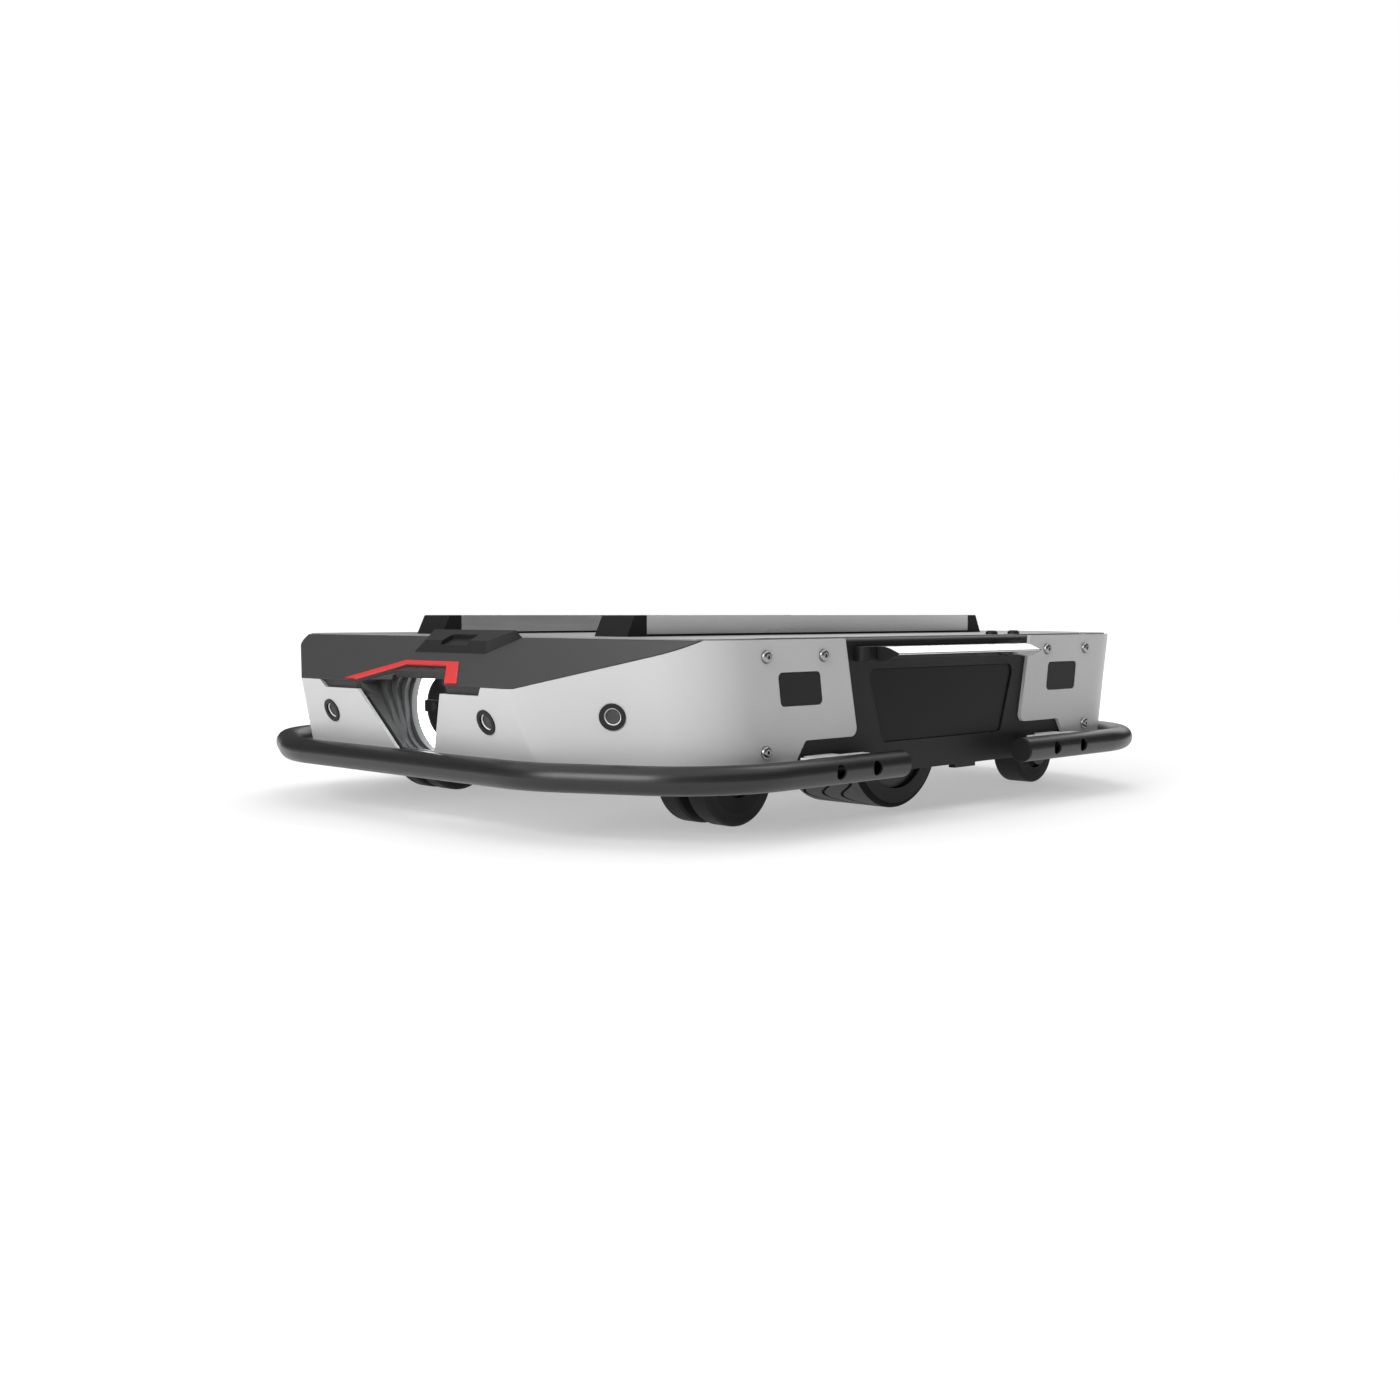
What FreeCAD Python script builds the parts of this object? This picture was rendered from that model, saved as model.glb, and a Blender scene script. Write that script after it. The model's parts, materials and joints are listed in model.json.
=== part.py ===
import FreeCAD, Part
import math
import os

from FreeCAD import Vector

os.makedirs("parts", exist_ok=True)

# All sizes are in millimetres. X points forward, Y to the left, Z up.
# The origin is on the floor at the middle of the vehicle.
# An inset is a distance back from the corner where the side panel meets the slanted corner face.
# A drop is a distance down from the rim of the shells.

# Overall size: bumper to bumper, tube to tube, and the height of the deck with its rails
LENGTH = 692.0
WIDTH = 570.0
DECK_TOP = 140.0
RAIL_HEIGHT = 16.0

# Bumper tubes: section, height, bends, ends and bolts
TUBE_D = 20.0
TUBE_WALL = 2.0
TUBE_Z = 46.0
TUBE_BEND_R = 96.0
TUBE_ANGLE = math.radians(27.3)
TUBE_PAST_NOSE = 5.3
TUBE_END_INSET = 169.6
BUMPER_BOLT_INSETS = (130.6, 89.6)
BOLT_ACCESS_D = 10.8
BOLT_HEAD_D = 8.0
PLUG_LENGTH = 12.0
PLUG_CAP = 1.5
PLUG_R = 0.9

# White shells, and how far they stand inside the tubes
FRONT_GAP = 6.2
SIDE_GAP = 9.5
NOSE_HALF = 146.8
CHAMFER_ANGLE = math.radians(32.5)
SHELL_T = 3.0
SHELL_BOTTOM = 48.0
RIM_DROP = 1.0
FRONT_DRAFT = 0.342
REAR_DRAFT = 0.28
CHAMFER_DRAFT = 0.153
CORNER_R = 66.0
NOSE_R = 10.0

# Side opening between the shells, and the windows in their panels
PANEL_TOP_INSET = 128.3
PANEL_LOW_INSET = 143.1
PANEL_LOW_Z = 66.9
PANEL_LOW_R = 6.0
NOTCH_INSET = 84.6
NOTCH_LOW_INSET = 71.2
NOTCH_R = 3.0
WINDOW_INSETS = (100.3, 54.6)
WINDOW_DROPS = (47.1, 23.0)
WINDOW_LEAN = 3.5
WINDOW_R = 4.0
PANE_SUNK = 0.5

# Side panel screws: places on the panel, head and shank
SCREW_OUT_INSET = 42.2
SCREW_IN_INSET = 103.3
SCREW_HIGH_DROP = 11.9
SCREW_LOW_Z = 60.9
SCREW_HEAD_D = 9.4
SCREW_HEAD_H = 3.0
SCREW_HEAD_R = 2.4
SCREW_D = 5.0
SCREW_SOCKET = 3.0

# Hood: where its slope starts, the sheet, the thin edge over the shell, and the lip behind the opening
HOOD_AHEAD = 16.3
HOOD_FRONT_DROP = 32.8
HOOD_ANGLE = math.radians(24.3)
HOOD_T = 3.0
HOOD_EDGE_T = 0.8
LIP_T = 2.5
LIP_DEPTH = 14.0
LIP_HALF = 108.0
STEP_HALF = 99.6
STEP_DEPTH = 7.0
STEP_RUN = 6.0

# Lamp opening in the front shell and the hood, with its trim, visor and lamp
MOUTH_LOW_Z = 53.0
MOUTH_LOW_HALF = 24.0
MOUTH_TOP_HALF = 58.2
SLOPE_OPEN_HALF = 26.2
SLOPE_OPEN_LENGTH = 28.0
TRIM_W = 9.6
TRIM_TOP_W = 6.0
TRIM_T = 1.2
VISOR_FRONT = 20.5
VISOR_BACK = 34.0
VISOR_SUNK = 1.2
VISOR_T = 6.0
VISOR_HOLE_D = 2.4
VISOR_HOLE_ALONG = 26.0
VISOR_HOLE_Y = 10.6
LAMP_UNDER_HOOD = 20.4
RING_R = 34.8
DISC_R = 24.5
LAMP_DEPTH = 5.0
LAMP_FACE_STEP = 1.0
LAMP_BAR_H = 9.0
LAMP_BAR_T = 3.0
LAMP_BAR_HALF = 22.5
LENS_D = 6.4
LENS_Y = 8.5
LENS_PROUD = 1.2
FUNNEL_HALF = 62.0
FUNNEL_LOW_Z = 50.0
FUNNEL_STEPS = 5
FUNNEL_RIM = 1.5
ROUND_SHARE = 0.99

# Grip block on the hood, measured up the slope: its foot, its smaller top, and the finger pocket
GRIP_FOOT = (50.7, 80.0)
GRIP_FOOT_HALF = (45.6, 56.5)
GRIP_TOP_START = 60.5
GRIP_TOP_HALF = (39.5, 52.5)
GRIP_T = 6.0
GRIP_POCKET = (57.0, 71.5)
GRIP_POCKET_HALF = 17.0
GRIP_POCKET_FLOOR = 2.5
GRIP_POCKET_R = 2.0

# Side skirts with their sunken plates
SKIRT_T = 6.0
SKIRT_LOW_Z = 37.0
SKIRT_INSET = 36.6
SKIRT_END_Z = 52.0
SKIRT_LOW_INSET = 74.6
SKIRT_TOP_R = 4.0
TAB_X = (-47.5, -19.5)
TAB_DROP = 3.0
RECESS_INSETS = (172.1, 153.6)
RECESS_BACK = 4.5
RECESS_LOW_Z = 60.0
RECESS_DROP = 23.2
RECESS_DEPTH = 2.5
RECESS_R = 6.0
INSERT_T = 1.2

# Handle bars and their posts
HANDLE_DROPS = (17.0, 6.0)
HANDLE_DEPTH = 20.0
HANDLE_FLAT = 7.0
HANDLE_SIDE_R = 26.0
HANDLE_NOSE_R = 0.8
HANDLE_FRONT_INSET = 159.6
HANDLE_REAR_INSET = 152.6
POST_DEPTH = 9.5
POST_INSETS = (180.6, 142.6)
POST_R = 6.0
HANDLE_CAP_T = 1.0

# Bumper brackets
BRACKET_INSETS = (115.6, 85.6)
BRACKET_TOP_Z = 55.5
BRACKET_T = 3.5
BRACKET_LEG_INSET = 114.6
BRACKET_SETBACK = 2.5
SADDLE_INSETS = (140.6, 72.6)
SADDLE_T = 8.0

# Rails on the deck
DECK_T = 3.0
RAIL_INSET = 44.6
RAIL_FROM_SKIRT = 131.3
RAIL_W = 36.0
SLOT_W = 10.0
SLOT_LIP = 3.5
SLOT_ROOM_W = 18.0
SLOT_ROOM_H = 5.0
RAIL_GROOVE = 1.8
RAIL_CAP = (12.5, 20.5)
RAIL_CAP_R = 2.0
RAIL_SCREW_INSET = 150.6
RAIL_SCREW_HEAD_D = 9.0
DECK_HOLE_D = 6.6
PAYLOAD_PITCH = (300.0, 120.0)

# Domed caps on the deck beside the left skirt
CAP_INSETS = (160.1, 127.6)
CAP_FROM_SKIRT = 8.5
CAP_D = 10.0
CAP_H = 3.2
CAP_R = 2.4

# Distance sensors
SENSOR_D = 18.8
SENSOR_FACE_D = 12.6
SENSOR_PROUD = 1.0
SENSOR_DEPTH = 10.0
SENSOR_SUNK = 2.6
SENSOR_Y = 100.4
SENSOR_Z = 80.4
CHAMFER_SENSOR_Z = 87.0
CHAMFER_SENSOR_FROM_CORNER = 71.8

# Rear control panel and its parts
PANEL_HALF = 86.0
PANEL_LOW_EDGE_Z = 62.0
PANEL_DROP = 17.0
PANEL_WALL = 2.0
PANEL_SETBACK = 7.8
PANEL_T = 3.0
STOP_Y = 60.0
STOP_CAP_D = 30.0
STOP_CAP_H = 11.0
STOP_CAP_R = 5.5
STOP_STEM_D = 20.0
STOP_COLLAR_D = 34.0
STOP_COLLAR_H = 9.0
STOP_TRAVEL = 4.0
STOP_GAP = 1.0
POWER_Y = 22.0
POWER_D = 16.0
POWER_FLANGE_D = 21.0
POWER_PROUD = 5.0
POWER_TRAVEL = 2.0
SOCKET_Y = -18.0
SOCKET_D = 26.0
SOCKET_H = 8.0
SOCKET_R = 2.0
DISPLAY_Y = -62.0
DISPLAY_SIZE = (36.0, 22.0)
DISPLAY_T = 2.0
LIGHT_HALF = 110.0
LIGHT_DROPS = (12.5, 6.5)

# Chassis frame, tray and the boxes on it
WEB_FROM_SKIRT = 158.5
WEB_T = 4.0
FRAME_SETBACK = 29.8
TRAY_T = 3.0
TRAY_TOP = 43.0
PLATFORM_T = 4.0
PLATFORM_INSETS = (117.6, -22.4)
GUSSET_T = 4.0
BATTERY_X = (-160.0, 50.0)
BATTERY_H = 72.0
BATTERY_R = 6.0
BATTERY_ROOM = 10.0
CONTROL_X = (82.0, 240.0)
CONTROL_H = 52.0
CONTROL_ROOM = 14.0

# Drive wheels on swing arms
WHEEL_D = 112.0
WHEEL_W = 78.0
WHEEL_FROM_SKIRT = 36.5
TYRE_T = 16.0
TYRE_EDGE_R = 4.0
HUB_SUNK = 4.0
HUB_WEB_T = 8.0
AXLE_D = 16.0
AXLE_COLLAR_D = 28.0
ARM_GAP = 3.0
ARM_W = 26.0
PIVOT_X = 95.0
PIVOT_OVER_AXLE = 14.0
PIN_D = 12.0
PIN_HEAD_D = 19.0
ARM_EYE_R = 16.0
ARM_AXLE_R = 18.0
SPRING_X = -65.0
SEAT_OVER_AXLE = 22.0
SPRING_SHELF_DROP = 15.0
SPRING_SEAT_HALF = 17.0
SPRING_R = 11.0
SPRING_WIRE_D = 3.2
SPRING_TURNS = 6

# Casters: swivel place, trail, and the two kinds of wheel
CASTER_INSET = 47.1
CASTER_FROM_SKIRT = 75.5
TWIN_TRAIL = 31.0
SINGLE_TRAIL = 39.5
CASTER_PLATE = 64.0
CASTER_PLATE_T = 4.0
CASTER_PLATE_R = 6.0
KINGPIN_D = 18.0
HEAD_D = 48.0
HEAD_H = 12.0
CROWN_H = 8.0
CROWN_R = 8.0
CROWN_FRONT = 22.0
CROWN_PAST_AXLE = 11.0
CROWN_ROOM = 4.7
TWIN_D = 75.0
TWIN_W = 20.0
TWIN_PITCH = 30.7
SINGLE_D = 60.0
SINGLE_W = 27.0
CASTER_EDGE_R = 3.0
FORK_ARM_T = 4.0
FORK_EYE_R = 13.0
CASTER_AXLE_D = 10.0
HUB_RECESS_D = 32.0
HUB_RECESS = 3.0
AXLE_END_D = 18.0
AXLE_END_T = 1.5

# Clearances: running fit on a radius, side play beside what turns, seams, and bolts in their holes
RUNNING = 0.05
PLAY = 0.4
SEAM = 0.3
BOLT_ROOM = 0.3

# Room that cutting shapes reach past what they cut, far and just clear
PAST = 60.0
CLEAR = 1.0

TUBE_R = TUBE_D / 2
TUBE_X = LENGTH / 2 - TUBE_R
TUBE_Y = WIDTH / 2 - TUBE_R
TUBE_RUN_HALF = NOSE_HALF + TUBE_PAST_NOSE
SLANT_COS = math.cos(CHAMFER_ANGLE)
SLANT_SIN = math.sin(CHAMFER_ANGLE)
FRONT_LOW_X = TUBE_X - TUBE_R - FRONT_GAP
SIDE_Y = TUBE_Y - TUBE_R - SIDE_GAP
SKIRT_Y = SIDE_Y - SHELL_T
SKIRT_IN_Y = SKIRT_Y - SKIRT_T
RIM_Z = DECK_TOP - RIM_DROP
DECK_LOW = DECK_TOP - DECK_T


def end_x(z, draft):
    """How far out an end face with a given draft stands at a height."""
    return FRONT_LOW_X + draft * (z - SHELL_BOTTOM)


def slant_c(z):
    """How far out the corner chamfer stands at a height, along its own direction."""
    return FRONT_LOW_X * SLANT_COS + NOSE_HALF * SLANT_SIN + CHAMFER_DRAFT * (z - SHELL_BOTTOM)


def corner_x(z):
    """How far forward the corner chamfer meets the side panel at a height."""
    return (slant_c(z) - SIDE_Y * SLANT_SIN) / SLANT_COS


CORNER_X = corner_x(SHELL_BOTTOM)


def ahead(inset):
    """How far ahead of the middle something stands that is set back from the corner."""
    return CORNER_X - inset


HOOD_FRONT_Z = RIM_Z - HOOD_FRONT_DROP
HOOD_X = FRONT_LOW_X + HOOD_AHEAD
HOOD_RISE = math.tan(HOOD_ANGLE)
DECK_FRONT_X = HOOD_X - HOOD_FRONT_DROP / HOOD_RISE
SLOPE_UP = Vector(-math.cos(HOOD_ANGLE), 0, math.sin(HOOD_ANGLE))
SLOPE_OUT = Vector(math.sin(HOOD_ANGLE), 0, math.cos(HOOD_ANGLE))

FRAME_X = FRONT_LOW_X - FRAME_SETBACK
LAMP_X = FRAME_X + LAMP_DEPTH
LAMP_Z = HOOD_FRONT_Z - LAMP_UNDER_HOOD
PANEL_X = FRONT_LOW_X - PANEL_SETBACK
PANEL_Z = (PANEL_LOW_EDGE_Z, RIM_Z - PANEL_DROP)
PANEL_PART_Z = (PANEL_Z[0] + PANEL_Z[1]) / 2
LIGHT_Z = (RIM_Z - LIGHT_DROPS[0], RIM_Z - LIGHT_DROPS[1])

TUBE_END_X = ahead(TUBE_END_INSET)
BUMPER_BOLT_X = (ahead(BUMPER_BOLT_INSETS[0]), ahead(BUMPER_BOLT_INSETS[1]))
BRACKET_X = (ahead(BRACKET_INSETS[0]), ahead(BRACKET_INSETS[1]))
SADDLE_X = (ahead(SADDLE_INSETS[0]), ahead(SADDLE_INSETS[1]))
SKIRT_HALF = ahead(SKIRT_INSET)
SCREW_HIGH_Z = RIM_Z - SCREW_HIGH_DROP
SCREW_PLACES = ((ahead(SCREW_OUT_INSET), SCREW_HIGH_Z), (ahead(SCREW_IN_INSET), SCREW_HIGH_Z),
                (ahead(SCREW_OUT_INSET), SCREW_LOW_Z))
HANDLE_X = (-ahead(HANDLE_REAR_INSET), ahead(HANDLE_FRONT_INSET))
HANDLE_Z = (RIM_Z - HANDLE_DROPS[0], RIM_Z - HANDLE_DROPS[1])
HANDLE_BACK_Y = SKIRT_Y + POST_DEPTH
RAIL_HALF = ahead(RAIL_INSET)
RAIL_Y = SKIRT_IN_Y - RAIL_FROM_SKIRT
RAIL_SCREW_X = ahead(RAIL_SCREW_INSET)

WEB_Y = SKIRT_IN_Y - WEB_FROM_SKIRT
WEB_OUT_Y = WEB_Y + WEB_T
PLATFORM_X = (ahead(PLATFORM_INSETS[0]), ahead(PLATFORM_INSETS[1]))
PLATFORM_Z = TWIN_D + CROWN_ROOM + CROWN_H + HEAD_H + SEAM + CASTER_PLATE_T
AXLE_Z = WHEEL_D / 2
WHEEL_Y = (SKIRT_IN_Y - WHEEL_FROM_SKIRT - WHEEL_W, SKIRT_IN_Y - WHEEL_FROM_SKIRT)
HUB_FACE_Y = WHEEL_Y[1] - HUB_SUNK
AXLE_ROOM_Y = HUB_FACE_Y - HUB_WEB_T
ARM_Y = (WEB_OUT_Y + ARM_GAP, WEB_OUT_Y + ARM_GAP + ARM_W)
PIVOT_Z = AXLE_Z + PIVOT_OVER_AXLE
SPRING_SEAT_Z = AXLE_Z + SEAT_OVER_AXLE
SPRING_TOP_Z = DECK_LOW - SPRING_SHELF_DROP
CASTER_X = ahead(CASTER_INSET)
CASTER_Y = SKIRT_IN_Y - CASTER_FROM_SKIRT


def box(x, y, z):
    """A block between two values on each axis."""
    return Part.makeBox(x[1] - x[0], y[1] - y[0], z[1] - z[0], Vector(x[0], y[0], z[0]))


def rod(diameter, start, end):
    """A round bar between two points."""
    along = end.sub(start)
    return Part.makeCylinder(diameter / 2, along.Length, start, along)


def rod_y(diameter, x, z, y):
    """A round bar along Y."""
    return rod(diameter, Vector(x, y[0], z), Vector(x, y[1], z))


def rod_z(diameter, x, y, z):
    """A round bar along Z."""
    return rod(diameter, Vector(x, y, z[0]), Vector(x, y, z[1]))


def rod_x(diameter, y, z, x):
    """A round bar along X."""
    return rod(diameter, Vector(x[0], y, z), Vector(x[1], y, z))


def outline(points, radii, place):
    """A closed outline with rounded corners; place turns a pair of numbers into a point in space."""
    flat = [Vector(a, b, 0) for a, b in points]
    stops = []
    for i, corner in enumerate(flat):
        if radii[i] == 0:
            stops.append((corner, None, corner))
            continue
        back = flat[i - 1].sub(corner).normalize()
        onward = flat[(i + 1) % len(flat)].sub(corner).normalize()
        half_angle = back.getAngle(onward) / 2
        middle = back.add(onward).normalize()
        reach = radii[i] / math.tan(half_angle)
        top = corner.add(middle.multiply(radii[i] / math.sin(half_angle) - radii[i]))
        stops.append((corner.add(back.multiply(reach)), top, corner.add(onward.multiply(reach))))
    edges = []
    for i, (start, top, end) in enumerate(stops):
        if top is not None:
            edges.append(Part.Arc(place(start), place(top), place(end)).toShape())
        following = stops[(i + 1) % len(stops)][0]
        if end.distanceToPoint(following) > 1e-6:
            edges.append(Part.makeLine(place(end), place(following)))
    return Part.Wire(edges)


def plate(points, radius, place, along):
    """A flat outline pushed through space; radius is one number or one for each corner."""
    radii = radius if isinstance(radius, (list, tuple)) else [radius] * len(points)
    return Part.Face(outline(points, radii, place)).extrude(along)


def plate_xz(points, radius, y):
    """A plate drawn from the side, from one Y to another."""
    return plate(points, radius, lambda p: Vector(p.x, y[0], p.y), Vector(0, y[1] - y[0], 0))


def plate_yz(points, radius, x):
    """A plate drawn from the front, from one X to another."""
    return plate(points, radius, lambda p: Vector(x[0], p.x, p.y), Vector(x[1] - x[0], 0, 0))


def plate_xy(points, radius, z):
    """A plate drawn from above, from one Z to another."""
    return plate(points, radius, lambda p: Vector(p.x, p.y, z[0]), Vector(0, 0, z[1] - z[0]))


def slope_place(lift):
    """Turns a distance up the hood and a Y into a point at a lift above the hood."""
    start = Vector(HOOD_X, 0, HOOD_FRONT_Z).add(SLOPE_OUT * lift)
    return lambda p: start.add(SLOPE_UP * p.x).add(Vector(0, p.y, 0))


def on_slope(points, radius, lift):
    """A plate drawn on the hood: distance up the slope, then Y; lift is measured at right angles to it."""
    return plate(points, radius, slope_place(lift[0]), SLOPE_OUT * (lift[1] - lift[0]))


def trapezium(low, low_half, high, high_half):
    """Four corners of a symmetric trapezium: the position first, then the half width."""
    return [(low, -low_half), (low, low_half), (high, high_half), (high, -high_half)]


def turned(points):
    """The same corners with the two numbers swapped."""
    return [(b, a) for a, b in points]


def mirror_x(shape):
    return shape.mirror(Vector(0, 0, 0), Vector(1, 0, 0))


def mirror_y(shape):
    return shape.mirror(Vector(0, 0, 0), Vector(0, 1, 0))


def both_sides(shape):
    """The shape and its mirror image on the other side."""
    return [shape, mirror_y(shape)]


def all_four(shape):
    """The shape at all four corners."""
    return both_sides(shape) + both_sides(mirror_x(shape))


def joined(shapes):
    """One solid from shapes that meet."""
    return shapes[0].multiFuse(shapes[1:]).removeSplitter()


def cut_all(shape, tools):
    """The shape with every tool taken out of it."""
    return shape.cut(Part.makeCompound(tools))


def soften(shape, radius, wanted):
    """The shape with a round on each edge that wanted picks out."""
    return shape.makeFillet(radius, [e for e in shape.Edges if wanted(e.BoundBox)])


def hull(inset, z):
    """The body's outer form between two heights, moved inward by inset."""
    rings = []
    for height in z:
        front, rear = end_x(height, FRONT_DRAFT) - inset, end_x(height, REAR_DRAFT) - inset
        slant = slant_c(height) - inset
        side = SIDE_Y - inset
        corner = (slant - side * SLANT_SIN) / SLANT_COS
        left = [(front, (slant - front * SLANT_COS) / SLANT_SIN), (corner, side), (-corner, side),
                (-rear, (slant - rear * SLANT_COS) / SLANT_SIN)]
        around = left + [(x, -y) for x, y in reversed(left)]
        rings.append(Part.makePolygon([Vector(x, y, height) for x, y in around + around[:1]]))
    solid = Part.makeLoft(rings, True, True)
    upright = [e for e in solid.Edges if e.BoundBox.ZLength > (z[1] - z[0]) / 2]
    outer = SIDE_Y - inset - CLEAR
    corners = [e for e in upright if abs(e.CenterOfMass.y) > outer]
    noses = [e for e in upright if abs(e.CenterOfMass.y) <= outer]
    solid = solid.makeFillet(CORNER_R - inset, corners)
    found = [e for e in solid.Edges for n in noses
             if e.CenterOfMass.distanceToPoint(n.CenterOfMass) < CLEAR / 2]
    return solid.makeFillet(NOSE_R - inset, found)


def above_hood(drop):
    """Everything above the hood, flat in front and then sloped, lowered by drop square to the slope."""
    low = HOOD_FRONT_Z - drop / math.cos(HOOD_ANGLE)
    near = HOOD_X + PAST
    far = HOOD_X - 3 * PAST
    top = low + (HOOD_X - far) * HOOD_RISE
    points = [(HOOD_X, low), (near, low), (near, top), (far, top)]
    return plate_xz(points, 0, (-WIDTH, WIDTH))


def mouth_tool():
    """The lamp opening, cut from the front."""
    corners = turned(trapezium(MOUTH_LOW_Z, MOUTH_LOW_HALF, HOOD_FRONT_Z, MOUTH_TOP_HALF))
    return plate_yz(corners, 0, (LAMP_X, HOOD_X + PAST))


def slope_half(along):
    """Half width of the lamp opening at a distance up the hood."""
    return MOUTH_TOP_HALF - along * (MOUTH_TOP_HALF - SLOPE_OPEN_HALF) / SLOPE_OPEN_LENGTH


def slope_tool():
    """The lamp opening, cut through the hood."""
    corners = trapezium(-LIP_DEPTH, slope_half(-LIP_DEPTH), SLOPE_OPEN_LENGTH, SLOPE_OPEN_HALF)
    return on_slope(corners, 0, (-LIP_DEPTH, LIP_DEPTH))


def side_opening():
    """The gap between the two shells, cut from the side."""
    notch_low_x = ahead(NOTCH_LOW_INSET)
    panel_top_x = ahead(PANEL_TOP_INSET)
    right = [(notch_low_x, SHELL_BOTTOM - PAST), (notch_low_x, SHELL_BOTTOM), (ahead(NOTCH_INSET), PANEL_LOW_Z),
             (ahead(PANEL_LOW_INSET), PANEL_LOW_Z), (panel_top_x, RIM_Z), (panel_top_x, RIM_Z + PAST)]
    radii = [0, 0, NOTCH_R, PANEL_LOW_R, 0, 0]
    left = [(-x, z) for x, z in reversed(right)]
    return plate_xz(right + left, radii + radii[::-1], (-WIDTH, WIDTH))


def window_plate(shrink, y):
    """A plate with a front window's outline, smaller by shrink all round."""
    rear, front = ahead(WINDOW_INSETS[0]) + shrink, ahead(WINDOW_INSETS[1]) - shrink
    low, high = RIM_Z - WINDOW_DROPS[0] + shrink, RIM_Z - WINDOW_DROPS[1] - shrink
    corners = [(rear - WINDOW_LEAN, low), (front - WINDOW_LEAN, low), (front, high), (rear, high)]
    return plate_xz(corners, WINDOW_R - shrink, y)


def screw_holes():
    """The panel screw holes on both sides, front half."""
    return [rod_y(SCREW_D + 2 * BOLT_ROOM, x, z, (-WIDTH, WIDTH)) for x, z in SCREW_PLACES]


def sensor_seats(draft):
    """Place and outward direction of the two left sensors at the front, for an end face with this draft."""
    flat = Vector(1, 0, -draft).normalize()
    slanted = Vector(SLANT_COS, SLANT_SIN, -CHAMFER_DRAFT).normalize()
    corner = Vector(corner_x(CHAMFER_SENSOR_Z), SIDE_Y, CHAMFER_SENSOR_Z)
    on_chamfer = corner.add(Vector(SLANT_SIN, -SLANT_COS, 0) * CHAMFER_SENSOR_FROM_CORNER)
    return [(Vector(end_x(SENSOR_Z, draft), SENSOR_Y, SENSOR_Z), flat), (on_chamfer, slanted)]


def sensor_rods(diameter, inner, outer):
    """A round bar at each sensor, between two distances from the shell's face."""
    front, rear = [[rod(diameter, p.add(d * inner), p.add(d * outer)) for p, d in sensor_seats(draft)]
                   for draft in (FRONT_DRAFT, REAR_DRAFT)]
    left = front + [mirror_x(shape) for shape in rear]
    return [s for shape in left for s in both_sides(shape)]


def front_and_rear(shapes):
    """The shapes with their mirror images at the other end."""
    return shapes + [mirror_x(s) for s in shapes]


def shells():
    """The white front and rear shells."""
    wall = shell_wall()
    tools = [side_opening()] + front_and_rear([window_plate(0, (-WIDTH, WIDTH))] + screw_holes())
    wall = cut_all(wall, tools + sensor_rods(SENSOR_D, -PAST / 2, PAST / 2))
    front, rear = sorted(wall.Solids, key=lambda s: -s.CenterOfMass.x)
    step_z = HOOD_FRONT_Z - STEP_DEPTH
    wide = STEP_HALF + STEP_RUN
    step = plate_yz([(-STEP_HALF, step_z), (STEP_HALF, step_z), (wide, HOOD_FRONT_Z), (wide, RIM_Z),
                     (-wide, RIM_Z), (-wide, HOOD_FRONT_Z)], 0, (LAMP_X, HOOD_X + PAST))
    front = cut_all(front.cut(above_hood(HOOD_EDGE_T + RUNNING)), [step, mouth_tool()])
    return front, cut_all(rear, [rear_panel_room(), rear_light_room()])


def shell_wall():
    """The closed wall from which both shells are cut."""
    return hull(0, (SHELL_BOTTOM, RIM_Z)).cut(hull(SHELL_T, (SHELL_BOTTOM - CLEAR, RIM_Z + CLEAR)))


def shell_screws():
    """Button-head screws through the panels into the skirts."""
    screws = []
    sixths = [math.radians(60 * i) for i in range(6)]
    for x, z in SCREW_PLACES:
        head = rod_y(SCREW_HEAD_D, x, z, (SIDE_Y, SIDE_Y + SCREW_HEAD_H))
        head = soften(head, SCREW_HEAD_R, lambda b: b.YMin > SIDE_Y + SCREW_HEAD_H / 2)
        corners = [(x + SCREW_SOCKET / 2 * math.cos(a), z + SCREW_SOCKET / 2 * math.sin(a)) for a in sixths]
        socket = plate_xz(corners, 0, (SIDE_Y + SCREW_HEAD_H / 2, SIDE_Y + 2 * SCREW_HEAD_H))
        shank = rod_y(SCREW_D, x, z, (SKIRT_IN_Y, SIDE_Y))
        screws += all_four(joined([head.cut(socket), shank]))
    return Part.makeCompound(screws)


def hood():
    """The sloped cover: a sheet, a thin edge over the front shell, and a lip behind the shell's edge."""
    inside = hull(SHELL_T, (SHELL_BOTTOM, RIM_Z)).cut(above_hood(0))
    sheet = inside.common(above_hood(HOOD_T)).common(box((DECK_FRONT_X, LENGTH), (-WIDTH, WIDTH), (0, RIM_Z)))
    edge = shell_wall().common(above_hood(HOOD_EDGE_T)).cut(above_hood(0))
    lip = inside.cut(hull(SHELL_T + LIP_T, (SHELL_BOTTOM - CLEAR, RIM_Z + CLEAR)))
    lip = lip.common(box((LAMP_X, LENGTH), (-LIP_HALF, LIP_HALF), (HOOD_FRONT_Z - LIP_DEPTH, RIM_Z)))
    return joined([sheet, edge, lip.cut(mouth_tool())]).cut(slope_tool())


def red_trim():
    """Flat trim that frames the lamp opening on the hood."""
    slant = math.hypot(1, (MOUTH_TOP_HALF - SLOPE_OPEN_HALF) / SLOPE_OPEN_LENGTH)
    end = SLOPE_OPEN_LENGTH + TRIM_TOP_W
    outer = trapezium(0, slope_half(0) + TRIM_W * slant, end, slope_half(end) + TRIM_W * slant)
    return on_slope(outer, 0, (0, TRIM_T)).cut(slope_tool())


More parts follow.
